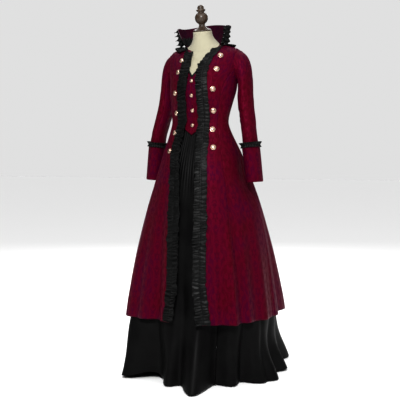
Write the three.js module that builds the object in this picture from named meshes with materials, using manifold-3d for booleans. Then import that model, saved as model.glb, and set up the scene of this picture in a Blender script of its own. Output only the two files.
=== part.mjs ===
// A ball gown on a dress form: a fitted brocade coat with a flared skirt, worn over a mock vest and a
// gathered full-length skirt, with ruffle bands, domed buttons, turn-up cuffs and a high flared collar.
//
// Units are millimetres and +Z is up. The origin is on the floor, under the stand's pole. The gown faces -Y,
// and its wearer's left is +X. Each cloth piece is a thin closed wall, worked out from a surface of two
// parameters: an angle round the body, from 0 at centre front through +90 at the wearer's left side, and a
// level, which is the height except over the shoulders, where a level bends with the shoulder line.

import * as THREE from 'three';
import { mergeVertices } from 'three/addons/utils/BufferGeometryUtils.js';
import Module from 'manifold-3d';

const wasm = await Module();
wasm.setup();

// Cloth and gaps
const SEAM_GAP = 0.36;
const COAT_CLOTH = 2;
const SKIRT_CLOTH = 1.6;
const RUFFLE_CLOTH = 1.4;
const VEST_INSET = 2.5;
const MERGE_DISTANCE = 0.001;
const NUMERIC_STEP = 0.002;
const SLOPE_STEP = 2;

// Main heights
const NECK_SEAM = 1400;
const COAT_HEM = 250;
const FORM_BOTTOM = 905;

// Names a row's numbers by its table's columns.
function table(names, rows) {
  const keys = names.split(' ');
  return rows.map((row) => Object.fromEntries(keys.map((key, column) => [key, row[column]])));
}

// The outer surface of the coat, a ring for each level. side, front and back are the ring's heights there,
// width is its half width, ahead and behind reach from the pole, and centre is the widest point's place.
const BODY_RINGS = table('level side front back width ahead behind centre', [
  [1400, 1382, 1352, 1394, 80, 50, 80, 20],
  [1375, 1375, 1336, 1381, 118, 62, 94, 28],
  [1350, 1359, 1316, 1356, 153, 74, 104, 35],
  [1318, 1321, 1294, 1318, 161, 88, 108, 34],
  [1280, 1280, 1271, 1279, 157, 101, 107, 27],
  [1240, 1240, 1240, 1240, 150, 114, 102, 17],
  [1190, 1190, 1190, 1190, 146, 122, 95, 6],
  [1140, 1140, 1140, 1140, 137, 116, 83, -11],
  [1095, 1095, 1095, 1095, 129, 109, 71, -26],
  [1055, 1055, 1055, 1055, 124, 107, 66, -31],
  [1017, 1017, 1017, 1017, 134, 116, 77, -28],
  [975, 975, 975, 975, 150, 134, 100, -16],
  [935, 935, 935, 935, 167, 152, 130, -7],
  [870, 870, 870, 870, 190, 178, 176, 5],
  [785, 785, 785, 785, 219, 200, 222, 14],
  [680, 680, 680, 680, 250, 220, 266, 20],
  [540, 540, 540, 540, 284, 240, 314, 28],
  [395, 395, 395, 395, 311, 258, 358, 34],
  [250, 250, 250, 250, 331, 276, 400, 40],
  [120, 120, 120, 120, 336, 296, 428, 40],
  [4, 4, 4, 4, 342, 312, 456, 40],
]);

// Where the coat and the skirt under it stand out: a ridge at each angle, as wide and high at the coat's hem
// as given, that fades out at top.
const BODY_RIDGES = table('angle spread height top', [
  [-47, 14, 30, 800],
  [45, 8, 15, 700],
  [126, 16, 9, 860],
]);

// The coat's folds: a valley at each angle, as wide and deep at the hem as given, that fades out at top.
const COAT_FOLDS = table('angle spread depth top', [
  [-168, 8, 15, 860],
  [-140, 8, 13, 760],
  [-117, 7, 15, 880],
  [-92, 8, 18, 740],
  [-68, 8, 15, 820],
  [-28, 7, 9, 820],
  [-11, 12, 20, 620],
  [36, 6, 9, 640],
  [55, 7, 19, 900],
  [81, 10, 26, 780],
  [102, 11, 28, 860],
  [152, 8, 14, 860],
]);

// Where each cuff hangs, the coat and skirt are pressed in a little beside it.
const ARM_DENT = { angle: 86, spread: 18, depth: 25, level: 815, tall: 80 };

// The skirt's folds: a ridge at each angle, its height a share of the rise, on the floor and from the coat's
// hem up.
const SKIRT_FOLDS = table('angle spread height early', [
  [-172, 10, 1.0, 1.0],
  [-146, 9, 0.8, 0.8],
  [-122, 10, 0.95, 0.95],
  [-99, 8, 0.75, 0.75],
  [-72, 9, 0.85, 0.85],
  [-42, 10, 1.05, 1.7],
  [-6, 8, 0.75, 0.6],
  [16, 9, 1.7, 1.3],
  [45, 7, 0.3, 0.3],
  [66, 7, 0.5, 0.5],
  [80, 12, 1.0, 0.4],
  [104, 9, 0.95, 0.3],
  [136, 12, 1.35, 0.9],
  [163, 8, 0.8, 0.8],
]);

// How far the skirt's valleys lie inside the coat, and how far its ridges rise from them.
const SKIRT_DEPTHS = table('level inset rise', [
  [1055, 4.9, 0],
  [1017, 8, 1.5],
  [965, 14, 5],
  [870, 23, 8],
  [785, 29, 9],
  [600, 35, 10],
  [400, 44, 14],
  [250, 53, 24],
  [120, 70, 50],
  [4, 82, 86],
]);

// Where the skirt's hem is lifted off the floor, and how high the lift reaches.
const HEM_LIFTS = table('angle spread lift', [[-30, 7, 26]]);
const LIFT_REACH = 200;

// The coat's front edges: how far each lies from the centre, on the wearer's left and right.
const FRONT_EDGES = table('level left right', [
  [1400, 76, 76],
  [1375, 72, 72],
  [1350, 55, 55],
  [1318, 43, 43],
  [1280, 38, 38],
  [1240, 36, 36],
  [1190, 40, 40],
  [1140, 43, 43],
  [1095, 44, 44],
  [1055, 44, 46],
  [1017, 45, 50],
  [935, 53, 56],
  [870, 60, 44],
  [785, 68, 34],
  [680, 75, 27],
  [540, 81, 23],
  [395, 88, 23],
  [250, 110, 38],
]);

// The princess seams: their angles from centre front and from centre back.
const PRINCESS_SEAMS = table('level front back', [
  [1280, 74, 72],
  [1240, 62, 60],
  [1190, 54, 48],
  [1140, 52, 42],
  [1055, 54, 39],
  [935, 49, 39],
  [250, 44, 40],
]);
const SIDE_SEAM = 90;
const ARMHOLE_LEVEL = 1300;
const ARMHOLE_GAP = 0.85;

const COAT_LEVELS = BODY_RINGS.map((ring) => ring.level).filter((level) => level >= COAT_HEM);
const SKIRT_LEVELS = SKIRT_DEPTHS.map((row) => row.level);
const WAIST_LEVEL = 1055;

// The left sleeve's outer surface, a ring for each station from the armhole to the hem. tilt turns the ring
// from facing sideways at 0 to facing down at 90, out is its half size away from the body.
const SLEEVE_RINGS = table('station x y z tilt out deep', [
  [0, 118, 38, 1292, 6, 58, 51],
  [1, 149, 38, 1288, 9, 61, 51],
  [2, 163, 38, 1276, 27, 54, 52],
  [3, 174, 37, 1240, 62, 34, 52],
  [4, 180, 34, 1198, 80, 29.5, 51],
  [5, 182, 28, 1160, 82, 31, 49],
  [6, 189, 20, 1113, 81, 32, 47],
  [7, 200, 9, 1062, 79, 31, 45],
  [8, 211, -3, 1008, 82, 29.5, 43],
  [9, 218, -6, 960, 85, 31, 42],
  [10, 227, -5, 884, 85, 31.5, 42],
  [11, 235, -4, 807, 86, 32, 42],
]);
const SLEEVE_STATIONS = [0, 1, 1.5, 2, 2.5, 3, 4, 5, 6.5, 8, 9, 10, 11];
const SLEEVE_SEAM = 105;
const SLEEVE_SIDES = { upper: 7, under: 5 };

// The cuff lies on the sleeve's end: how far its outer face stands off the sleeve at each station.
const CUFF_STATIONS = [9, 10, 11];
const CUFF_STANDOFF = { top: 5, bottom: 2.5 };

// The collar's top edge, in the same columns as the body's rings.
const COLLAR_TOP = { side: 1461, front: 1400, back: 1484, width: 117, ahead: 96, behind: 110, centre: 18 };
const COLLAR_RISES = [0, 0.3, 0.65, 1];
const COLLAR_FLARE = 0.7;
const COLLAR_CORNER = 72;

// The dress form: how far it lies inside the coat's surface, and its neck's rings above the neck seam.
const FORM_INSETS = table('level inset', [
  [1400, 7],
  [1318, 6.2],
  [1240, 5.7],
  [1100, 5.7],
  [1055, 9.5],
  [1017, 16],
  [975, 26],
  [935, 36],
  [905, 48],
]);
const FORM_LEVELS = [905, 935, 975, 1017, 1055, 1095, 1140, 1190, 1240, 1280, 1318, 1350, 1375, 1400];
const NECK_LEAN = 11;
const NECK_RINGS = table('height lean width ahead behind centre', [
  [1393, 20, 58, 44, 62, 12],
  [1408, 17, 47, 43, 50, 6],
  [1424, 13, 41, 44, 41, 0],
  [1441, NECK_LEAN, 39, 46, 34, -6],
]);

const BURGUNDY = new THREE.MeshStandardMaterial({ color: 0x5c0618, roughness: 0.75, metalness: 0 });
const BLACK_TAFFETA = new THREE.MeshStandardMaterial({ color: 0x17181a, roughness: 0.6, metalness: 0 });
const BLACK_TRIM = new THREE.MeshStandardMaterial({ color: 0x111212, roughness: 0.7, metalness: 0 });
const BRASS = new THREE.MeshStandardMaterial({ color: 0xa88a4a, roughness: 0.3, metalness: 1 });
const CREAM = new THREE.MeshStandardMaterial({ color: 0xd9d5b9, roughness: 0.85, metalness: 0 });
const DARK_WOOD = new THREE.MeshStandardMaterial({ color: 0x3a2618, roughness: 0.45, metalness: 0 });
const STAND_METAL = new THREE.MeshStandardMaterial({ color: 0x1d1d1f, roughness: 0.5, metalness: 0.6 });

const gown = new THREE.Group();
const radians = THREE.MathUtils.degToRad;
const mix = THREE.MathUtils.lerp;

function add(name, geometry, material) {
  const mesh = new THREE.Mesh(geometry, material);
  mesh.name = name;
  gown.add(mesh);
  return mesh;
}

// Reads a table at any level: a smooth cubic through its rows, held still beyond its ends.
function readTable(rows, at, key = 'level') {
  const falling = rows[0][key] > rows[rows.length - 1][key];
  const after = rows.findIndex((row) => (falling ? row[key] <= at : row[key] >= at));
  if (after === 0) return rows[0];
  if (after < 0) return rows[rows.length - 1];
  const low = rows[after - 1];
  const high = rows[after];
  const before = rows[Math.max(after - 2, 0)];
  const beyond = rows[Math.min(after + 1, rows.length - 1)];
  const span = high[key] - low[key];
  const share = (at - low[key]) / span;
  const slope = (start, end, column) => (end[column] - start[column]) / (end[key] - start[key]);
  const result = {};
  for (const column of Object.keys(low)) {
    const leave = slope(before, high, column) * span;
    const arrive = slope(low, beyond, column) * span;
    const square = share * share;
    const cube = square * share;
    result[column] = low[column] * (2 * cube - 3 * square + 1) + leave * (cube - 2 * square + share)
      + high[column] * (3 * square - 2 * cube) + arrive * (cube - square);
  }
  return result;
}

// A ring is two half ellipses that meet at its widest point, bent between its side, front and back heights.
function ringPoint(ring, angle, outward = 0) {
  const across = Math.sin(radians(angle));
  const along = Math.cos(radians(angle));
  const reach = along > 0 ? ring.ahead + ring.centre : ring.behind - ring.centre;
  const height = ring.side * across ** 2 + (along > 0 ? ring.front : ring.back) * along ** 2;
  const normal = new THREE.Vector2(across * reach, -along * ring.width).normalize();
  return new THREE.Vector3(
    ring.width * across + normal.x * outward,
    ring.centre - reach * along + normal.y * outward,
    height,
  );
}

function angleBetween(first, second) {
  return THREE.MathUtils.euclideanModulo(first - second + 180, 360) - 180;
}

function bump(offset, spread) {
  return Math.exp(-((offset / spread) ** 2));
}

// The sum of a table's ridges or valleys, which grow from their tops to the coat's hem.
function foldsAt(folds, size, angle, level) {
  return folds.reduce((sum, fold) => {
    const growth = THREE.MathUtils.smoothstep(fold.top - level, 0, fold.top - COAT_HEM);
    return sum + fold[size] * growth * bump(angleBetween(angle, fold.angle), fold.spread);
  }, 0);
}

function bodyRidge(angle, level) {
  return foldsAt(BODY_RIDGES, 'height', angle, level) - armDent(angle, level);
}

function armDent(angle, level) {
  const beside = bump(angleBetween(Math.abs(angleBetween(angle, 0)), ARM_DENT.angle), ARM_DENT.spread);
  return ARM_DENT.depth * beside * bump(level - ARM_DENT.level, ARM_DENT.tall);
}

function coatSurface(angle, level) {
  const outward = bodyRidge(angle, level) - foldsAt(COAT_FOLDS, 'depth', angle, level);
  return ringPoint(readTable(BODY_RINGS, level), angle, outward);
}

function skirtSurface(angle, level) {
  const depths = readTable(SKIRT_DEPTHS, level);
  const early = THREE.MathUtils.smoothstep(level, 0, COAT_HEM);
  const ridges = SKIRT_FOLDS.reduce((sum, fold) => {
    const height = mix(fold.height, fold.early, early);
    return sum + height * bump(angleBetween(angle, fold.angle), fold.spread);
  }, 0);
  const outward = depths.rise * ridges - depths.inset + bodyRidge(angle, level);
  const point = ringPoint(readTable(BODY_RINGS, level), angle, outward);
  const reach = 1 - THREE.MathUtils.smoothstep(level, 0, LIFT_REACH);
  for (const place of HEM_LIFTS) {
    point.z += place.lift * reach * bump(angleBetween(angle, place.angle), place.spread);
  }
  return point;
}

// The collar runs from the neck seam to its top edge and flares most near the top.
function collarSurface(angle, rise) {
  const seam = ringPoint(readTable(BODY_RINGS, NECK_SEAM), angle);
  const top = ringPoint(COLLAR_TOP, angle);
  const flare = Math.max(rise, 0) ** COLLAR_FLARE;
  return new THREE.Vector3(mix(seam.x, top.x, flare), mix(seam.y, top.y, flare), mix(seam.z, top.z, rise));
}

// A sleeve ring is an ellipse. Its angle is 0 on the outside, 90 at the back and 180 beside the body.
function sleeveSurface(angle, station) {
  const ring = readTable(SLEEVE_RINGS, station, 'station');
  const tilt = radians(ring.tilt);
  const out = ring.out * Math.cos(radians(angle));
  const back = ring.deep * Math.sin(radians(angle));
  return new THREE.Vector3(ring.x + Math.sin(tilt) * out, ring.y + back, ring.z + Math.cos(tilt) * out);
}

// The outward normal of a surface, from its slopes down and round.
function normalOf(surface, angle, down, step) {
  const round = surface(angle + SLOPE_STEP, down).sub(surface(angle - SLOPE_STEP, down));
  const fall = surface(angle, down + step).sub(surface(angle, down - step));
  return fall.cross(round).normalize();
}
const coatNormal = (angle, level) => normalOf(coatSurface, angle, level, -SLOPE_STEP);
const skirtNormal = (angle, level) => normalOf(skirtSurface, angle, level, -SLOPE_STEP);
const collarNormal = (angle, rise) => normalOf(collarSurface, angle, rise, -NUMERIC_STEP);
const sleeveNormal = (angle, station) => normalOf(sleeveSurface, angle, station, NUMERIC_STEP);

// A geometry from points and faces of three or four corners.
function solid(points, faces) {
  const positions = points.flatMap((point) => [point.x, point.y, point.z]);
  const index = faces.flatMap(([a, b, c, d]) => (d === undefined ? [a, b, c] : [a, b, c, a, c, d]));
  const geometry = new THREE.BufferGeometry();
  geometry.setAttribute('position', new THREE.Float32BufferAttribute(positions, 3));
  geometry.setIndex(index);
  return geometry;
}

// A closed wall between two grids of points. Rows run down and columns run round, as seen from outside.
function wall(outer, inner, closed = false) {
  const rows = outer.length;
  const columns = outer[0].length;
  const points = [...outer.flat(), ...inner.flat()];
  const at = (row, column) => row * columns + (column % columns);
  const under = (row, column) => rows * columns + at(row, column);
  const faces = [];
  const spans = closed ? columns : columns - 1;
  const last = rows - 1;
  for (let column = 0; column < spans; column += 1) {
    const next = column + 1;
    for (let row = 0; row < last; row += 1) {
      faces.push([at(row, column), at(row + 1, column), at(row + 1, next), at(row, next)]);
      faces.push([under(row, column), under(row, next), under(row + 1, next), under(row + 1, column)]);
    }
    faces.push([at(0, column), at(0, next), under(0, next), under(0, column)]);
    faces.push([at(last, column), under(last, column), under(last, next), at(last, next)]);
  }
  for (let row = 0; row < rows - 1 && !closed; row += 1) {
    const end = columns - 1;
    faces.push([at(row, 0), under(row, 0), under(row + 1, 0), at(row + 1, 0)]);
    faces.push([at(row, end), at(row + 1, end), under(row + 1, end), under(row, end)]);
  }
  return solid(points, faces);
}

// A solid through closed rings of points, each seen from outside as rows that run down, with flat ends.
function stack(rings) {
  const columns = rings[0].length;
  const points = rings.flat();
  const sumOf = (ring) => ring.reduce((sum, point) => sum.add(point), new THREE.Vector3());
  const centreOf = (ring) => sumOf(ring).divideScalar(columns);
  const top = points.push(centreOf(rings[0])) - 1;
  const bottom = points.push(centreOf(rings[rings.length - 1])) - 1;
  const at = (row, column) => row * columns + (column % columns);
  const faces = [];
  for (let column = 0; column < columns; column += 1) {
    for (let row = 0; row < rings.length - 1; row += 1) {
      faces.push([at(row, column), at(row + 1, column), at(row + 1, column + 1), at(row, column + 1)]);
    }
    faces.push([top, at(0, column), at(0, column + 1)]);
    faces.push([bottom, at(rings.length - 1, column + 1), at(rings.length - 1, column)]);
  }
  return solid(points, faces);
}

// Points of a surface moved along its normals, for one row between two angles.
function surfaceRow(surface, normal, from, to, columns, down, moved) {
  return Array.from({ length: columns + 1 }, (_, column) => {
    const angle = mix(from, to, column / columns);
    return surface(angle, down).addScaledVector(normal(angle, down), moved);
  });
}

// How many degrees of a surface half a seam's gap takes up.
function gapAngle(surface, angle, down) {
  const degree = surface(angle + 0.5, down).distanceTo(surface(angle - 0.5, down));
  return SEAM_GAP / 2 / degree;
}

// A panel of cloth between two seams, each an angle that may change with the level.
function panel({ surface, normal, downs, from, to, columns, cloth, moved = 0 }) {
  const layer = (depth) => downs.map((down) => {
    const start = from(down) + gapAngle(surface, from(down), down);
    const end = to(down) - gapAngle(surface, to(down), down);
    return surfaceRow(surface, normal, start, end, columns, down, moved - depth);
  });
  return wall(layer(0), layer(cloth));
}

// The same geometry on the wearer's right.
function mirrored(geometry) {
  const copy = geometry.clone().scale(-1, 1, 1);
  const index = copy.getIndex();
  for (let corner = 0; corner < index.count; corner += 3) {
    const second = index.getX(corner + 1);
    index.setX(corner + 1, index.getX(corner + 2));
    index.setX(corner + 2, second);
  }
  return copy;
}

function toManifold(geometry) {
  const plain = mergeVertices(geometry, MERGE_DISTANCE);
  return new wasm.Manifold(new wasm.Mesh({
    numProp: 3,
    vertProperties: new Float32Array(plain.attributes.position.array),
    triVerts: new Uint32Array(plain.index.array),
  }));
}

function fromManifold(shape) {
  const mesh = shape.getMesh();
  const geometry = new THREE.BufferGeometry();
  geometry.setAttribute('position', new THREE.Float32BufferAttribute(mesh.vertProperties, 3));
  geometry.setIndex(new THREE.BufferAttribute(mesh.triVerts, 1));
  return geometry;
}

// A cut piece, without any sliver that the cut leaves on the other side of its tool.
function cut(geometry, tool) {
  const trimmed = toManifold(geometry).subtract(toManifold(tool));
  const pieces = toManifold(fromManifold(trimmed)).decompose();
  return fromManifold(pieces.reduce((best, piece) => (piece.volume() > best.volume() ? piece : best)));
}

// Coat edges and seams as angles
const edgeWidth = (level, side) => readTable(FRONT_EDGES, level)[side > 0 ? 'left' : 'right'];
function frontEdgeAngle(level, side) {
  const ring = readTable(BODY_RINGS, level);
  return side * THREE.MathUtils.radToDeg(Math.asin(edgeWidth(level, side) / ring.width));
}
const frontSeam = (level) => (level > ARMHOLE_LEVEL ? SIDE_SEAM : readTable(PRINCESS_SEAMS, level).front);
const backSeam = (level) => (level > ARMHOLE_LEVEL ? SIDE_SEAM : 180 - readTable(PRINCESS_SEAMS, level).back);

// Sleeve shapes used to cut the armholes, and the coat's inside used to trim the sleeve
function fullRing(surface, normal, down, sides, moved) {
  return surfaceRow(surface, normal, 0, 360, sides, down, moved).slice(0, sides);
}

// The sleeve's columns: evenly spaced on the upper piece and on the under piece, from seam to seam.
function sleeveColumns(station, moved) {
  const row = (from, to, sides) => surfaceRow(sleeveSurface, sleeveNormal, from, to, sides, station, moved);
  const upper = row(-SLEEVE_SEAM, SLEEVE_SEAM, SLEEVE_SIDES.upper);
  const under = row(SLEEVE_SEAM, 360 - SLEEVE_SEAM, SLEEVE_SIDES.under);
  return [...upper.slice(0, -1), ...under.slice(0, -1)];
}
const ARMHOLE_REACH = 40;
const armholeStations = SLEEVE_STATIONS.filter((station) => station <= 5);
const armholeRings = armholeStations.map((station) => sleeveColumns(station, ARMHOLE_GAP));
const innermost = armholeRings[0].map((point) => point.clone().setX(point.x - ARMHOLE_REACH));
const armholeTool = stack([innermost, ...armholeRings]);
const INSIDE_SIDES = 48;
const coatInside = stack(COAT_LEVELS.filter((level) => level >= WAIST_LEVEL)
  .map((level) => fullRing(coatSurface, coatNormal, level, INSIDE_SIDES, -COAT_CLOTH)));

function coatPanel(name, side, from, to, columns, downs) {
  const cloth = COAT_CLOTH;
  const geometry = panel({ surface: coatSurface, normal: coatNormal, downs, from, to, columns, cloth });
  const tool = side > 0 ? armholeTool : mirrored(armholeTool);
  add(name, cut(geometry, tool), BURGUNDY);
}

function addCoat() {
  const lower = COAT_LEVELS.filter((level) => level < ARMHOLE_LEVEL);
  const left = 1;
  const right = -1;
  const leftEdge = (level) => frontEdgeAngle(level, left);
  const rightEdge = (level) => frontEdgeAngle(level, right);
  const rightFrontSeam = (level) => -frontSeam(level);
  const rightBackSeam = (level) => 360 - backSeam(level);
  coatPanel('coat_front_left', left, leftEdge, frontSeam, 5, COAT_LEVELS);
  coatPanel('coat_side_front_left', left, frontSeam, () => SIDE_SEAM, 6, lower);
  coatPanel('coat_side_back_left', left, () => SIDE_SEAM, backSeam, 6, lower);
  coatPanel('coat_back_left', left, backSeam, () => 180, 5, COAT_LEVELS);
  coatPanel('coat_back_right', right, () => 180, rightBackSeam, 5, COAT_LEVELS);
  coatPanel('coat_side_back_right', right, rightBackSeam, () => 360 - SIDE_SEAM, 6, lower);
  coatPanel('coat_side_front_right', right, () => -SIDE_SEAM, rightFrontSeam, 6, lower);
  coatPanel('coat_front_right', right, rightFrontSeam, rightEdge, 5, COAT_LEVELS);
}

// The right arm hangs a little nearer to the body than the left one's mirror image, and bends a little more.
const RIGHT_ARM = { from: 1200, to: 1080, inward: 6, up: 5 };
function rightArm(geometry) {
  const arm = mirrored(geometry);
  const points = arm.attributes.position;
  for (let point = 0; point < points.count; point += 1) {
    const share = 1 - THREE.MathUtils.smoothstep(points.getZ(point), RIGHT_ARM.to, RIGHT_ARM.from);
    points.setX(point, points.getX(point) + RIGHT_ARM.inward * share);
    points.setZ(point, points.getZ(point) + RIGHT_ARM.up * share);
  }
  return arm;
}

function addSleeves() {
  const spec = { surface: sleeveSurface, normal: sleeveNormal, downs: SLEEVE_STATIONS, cloth: COAT_CLOTH };
  const piece = (from, to, columns) => panel({ ...spec, from: () => from, to: () => to, columns });
  const pieces = {
    upper: piece(-SLEEVE_SEAM, SLEEVE_SEAM, SLEEVE_SIDES.upper),
    under: piece(SLEEVE_SEAM, 360 - SLEEVE_SEAM, SLEEVE_SIDES.under),
  };
  for (const [name, shape] of Object.entries(pieces)) {
    const trimmed = cut(shape, coatInside);
    add(`sleeve_${name}_left`, trimmed, BURGUNDY);
    add(`sleeve_${name}_right`, rightArm(trimmed), BURGUNDY);
  }
}

function cuffStandoff(station) {
  const share = (station - CUFF_STATIONS[0]) / (CUFF_STATIONS[2] - CUFF_STATIONS[0]);
  return mix(CUFF_STANDOFF.top, CUFF_STANDOFF.bottom, share);
}

function addCuffs() {
  const ring = (station, moved) => sleeveColumns(station, cuffStandoff(station) + moved);
  const layer = (moved) => CUFF_STATIONS.map((station) => ring(station, moved));
  const cuff = wall(layer(0), layer(-COAT_CLOTH), true);
  add('cuff_left', cuff, BURGUNDY);
  add('cuff_right', rightArm(cuff), BURGUNDY);
}

function addCollar() {
  const spec = { surface: collarSurface, normal: collarNormal, cloth: COAT_CLOTH };
  const span = { from: () => COLLAR_CORNER, to: () => 360 - COLLAR_CORNER, columns: 16 };
  const geometry = panel({ ...spec, ...span, downs: [...COLLAR_RISES].reverse() });
  geometry.translate(0, 0, SEAM_GAP);
  add('collar', geometry, BURGUNDY);
}

// A ruffle's free edge stands away from the cloth by a share from 0 to 1 that rises and falls along it.
const STEPS_A_WAVE = 4;
const waveAt = (step, phase) => 0.5 + 0.5 * Math.sin((2 * Math.PI * step) / STEPS_A_WAVE + phase);

// A gathered strip along a path. place(along, across) gives a point and the way out from the cloth under it.
// The strip is held at its stitch line and its free edges wave away from the cloth.
function ruffle({ place, waves, edges, lift, wave }) {
  const steps = waves * STEPS_A_WAVE;
  const layer = (depth) => Array.from({ length: steps + 1 }, (_, step) => edges.map((edge) => {
    const { point, out } = place(step / steps, edge.across);
    return point.addScaledVector(out, lift + edge.free * wave * waveAt(step, edge.phase) + depth);
  }));
  return wall(layer(RUFFLE_CLOTH), layer(0));
}

const BAND_EDGES = [
  { across: -1, free: 1, phase: 0 },
  { across: 0, free: 0, phase: 0 },
  { across: 1, free: 1, phase: Math.PI / 2 },
];
const FRONT_BAND = {
  top: 1386, bottom: 251, waves: 28, halfTop: 23, halfBottom: 28, inboard: 5, lift: 1.1, wave: 8,
  neckLift: 2, neck: 1360, chest: 1300,
};

// A place on the coat between two of its rows, so that what lies there follows the panel's own faces.
function betweenRows(level, at) {
  const lower = Math.max(COAT_LEVELS.findIndex((row) => row <= level), 1);
  const top = COAT_LEVELS[lower - 1];
  const share = (top - level) / (top - COAT_LEVELS[lower]);
  const [angleAbove, angleBelow] = [at(top), at(COAT_LEVELS[lower])];
  const above = coatSurface(angleAbove, top);
  const below = coatSurface(angleBelow, COAT_LEVELS[lower]);
  const out = coatNormal(angleAbove, top).lerp(coatNormal(angleBelow, COAT_LEVELS[lower]), share).normalize();
  return { point: above.lerp(below, share), out };
}

function addFrontRuffles() {
  const { top, bottom, waves, halfTop, halfBottom, inboard, lift, neckLift, neck, chest, wave } = FRONT_BAND;
  for (const side of [1, -1]) {
    const place = (along, across) => {
      const level = mix(top, bottom, along);
      const half = mix(halfTop, halfBottom, along);
      const spot = betweenRows(level, (row) => {
        const edge = frontEdgeAngle(row, side);
        const degree = coatSurface(edge + 0.5, row).distanceTo(coatSurface(edge - 0.5, row));
        return edge + (side * inboard + across * half) / degree;
      });
      spot.point.addScaledVector(spot.out, neckLift * THREE.MathUtils.smoothstep(level, chest, neck));
      return spot;
    };
    const geometry = ruffle({ place, waves, edges: BAND_EDGES, lift, wave });
    add(side > 0 ? 'front_ruffle_left' : 'front_ruffle_right', geometry, BLACK_TRIM);
  }
}

// The ruffle that goes on round the neck seam, over the shoulders and the back.
const NECK_BAND = { waves: 17, from: 84, to: 276, top: 1396, bottom: 1374, lift: 1, stand: 13, wave: 9 };

function addNeckRuffle() {
  const { waves, from, to, top, bottom, lift, stand, wave } = NECK_BAND;
  const steps = waves * STEPS_A_WAVE;
  const edges = [{ down: top, free: 0 }, { down: bottom, free: 1 }];
  const layer = (depth) => edges.map((edge) => Array.from({ length: steps + 1 }, (_, step) => {
    const { point, out } = betweenRows(edge.down, () => mix(from, to, step / steps));
    return point.addScaledVector(out, lift + edge.free * (stand + wave * waveAt(step, 0)) + depth);
  }));
  add('neck_ruffle', wall(layer(RUFFLE_CLOTH), layer(0)), BLACK_TRIM);
}

// The frill along each front edge of the collar, set just clear of the edge and standing on past it, and
// out from it towards the neck seam.
const COLLAR_FRILL = { waves: 7, gap: 0.5, reach: 16, lift: -1.6, wave: 9, stand: 22, top: 1, bottom: 0.14 };

function addCollarRuffles() {
  const { waves, gap, reach, lift, wave, stand, top, bottom } = COLLAR_FRILL;
  const steps = waves * STEPS_A_WAVE;
  const shares = [1, 0.5, 0];
  const layer = (depth) => Array.from({ length: steps + 1 }, (_, step) => shares.map((share) => {
    const rise = mix(top, bottom, step / steps);
    const before = collarSurface(COLLAR_CORNER - 0.5, rise);
    const degree = collarSurface(COLLAR_CORNER + 0.5, rise).distanceTo(before);
    const angle = COLLAR_CORNER - (gap + share * reach) / degree;
    const out = collarNormal(angle, rise);
    const away = stand * (1 - rise) + wave * waveAt(step, 0);
    return collarSurface(angle, rise).addScaledVector(out, lift + share * away + depth);
  }));
  const frill = wall(layer(RUFFLE_CLOTH), layer(0));
  frill.translate(0, 0, SEAM_GAP);
  add('collar_ruffle_left', frill, BLACK_TRIM);
  add('collar_ruffle_right', mirrored(frill), BLACK_TRIM);
}

// The frill round each cuff's top edge: its stitch line lies on the cuff and both free edges stand away.
const CUFF_FRILL = { waves: 8, wave: 6 };
const CUFF_FRILL_ROWS = [
  { station: 8.82, off: 11.5, free: 1 },
  { station: 9.04, off: 6.2, free: 0 },
  { station: 9.2, off: 6, free: 0.8 },
];

function addCuffRuffles() {
  const { waves, wave } = CUFF_FRILL;
  const steps = waves * STEPS_A_WAVE;
  const layer = (depth) => CUFF_FRILL_ROWS.map((row) => Array.from({ length: steps }, (_, step) => {
    const angle = (360 * step) / steps;
    const off = row.off + row.free * wave * waveAt(step, 0) + depth;
    return sleeveSurface(angle, row.station).addScaledVector(sleeveNormal(angle, row.station), off);
  }));
  const frill = wall(layer(RUFFLE_CLOTH), layer(0), true);
  add('cuff_ruffle_left', frill, BLACK_TRIM);
  add('cuff_ruffle_right', rightArm(frill), BLACK_TRIM);
}

// The mock vest: a wall under the coat's edges, cut to its V neck and pointed hem as seen from the front.
const VEST_LEVELS = COAT_LEVELS.filter((level) => level <= 1318 && level >= 975);
const VEST_OVERLAP = 7;
const VEST = {
  neckDip: 1240, neckTop: 1322, point: 1003, hemSide: 1046, bust: 1205, half: 66, chestHalf: 47, deep: 200,
};

function vestOutline(side) {
  const shape = new THREE.Shape();
  shape.moveTo(0, VEST.point);
  shape.lineTo(side * VEST.half, VEST.hemSide);
  shape.lineTo(side * VEST.half, VEST.bust);
  shape.lineTo(side * VEST.chestHalf, VEST.neckDip + 10);
  shape.lineTo(side * VEST.chestHalf, VEST.neckTop);
  shape.lineTo(0, VEST.neckDip);
  const prism = new THREE.ExtrudeGeometry(shape, { depth: VEST.deep, bevelEnabled: false });
  prism.deleteAttribute('normal');
  prism.deleteAttribute('uv');
  prism.rotateX(Math.PI / 2);
  return prism;
}

function addVest() {
  for (const side of [1, -1]) {
    const edge = (level) => frontEdgeAngle(level, side) + side * VEST_OVERLAP;
    const geometry = panel({
      surface: coatSurface,
      normal: coatNormal,
      downs: VEST_LEVELS,
      from: side > 0 ? () => 0 : edge,
      to: side > 0 ? edge : () => 0,
      columns: 5,
      cloth: COAT_CLOTH,
      moved: -VEST_INSET,
    });
    const trimmed = fromManifold(toManifold(geometry).intersect(toManifold(vestOutline(side))));
    add(side > 0 ? 'vest_left' : 'vest_right', trimmed, BURGUNDY);
  }
}

// Domed buttons: radius, rim height and dome height, and where each sits.
const COAT_BUTTON = { radius: 11, rim: 1.6, dome: 6.5 };
const VEST_BUTTON = { radius: 7.5, rim: 1.2, dome: 4.5 };
const COAT_BUTTONS = table('level across', [
  [1330, 85],
  [1263, 85],
  [1187, 85],
  [1097, 80],
  [1017, 85],
  [941, 98],
]);
const VEST_BUTTON_LEVELS = [1222, 1162, 1101, 1041];
const BUTTON_SIDES = 10;
const BUTTON_SEAT = 0.5;

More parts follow.
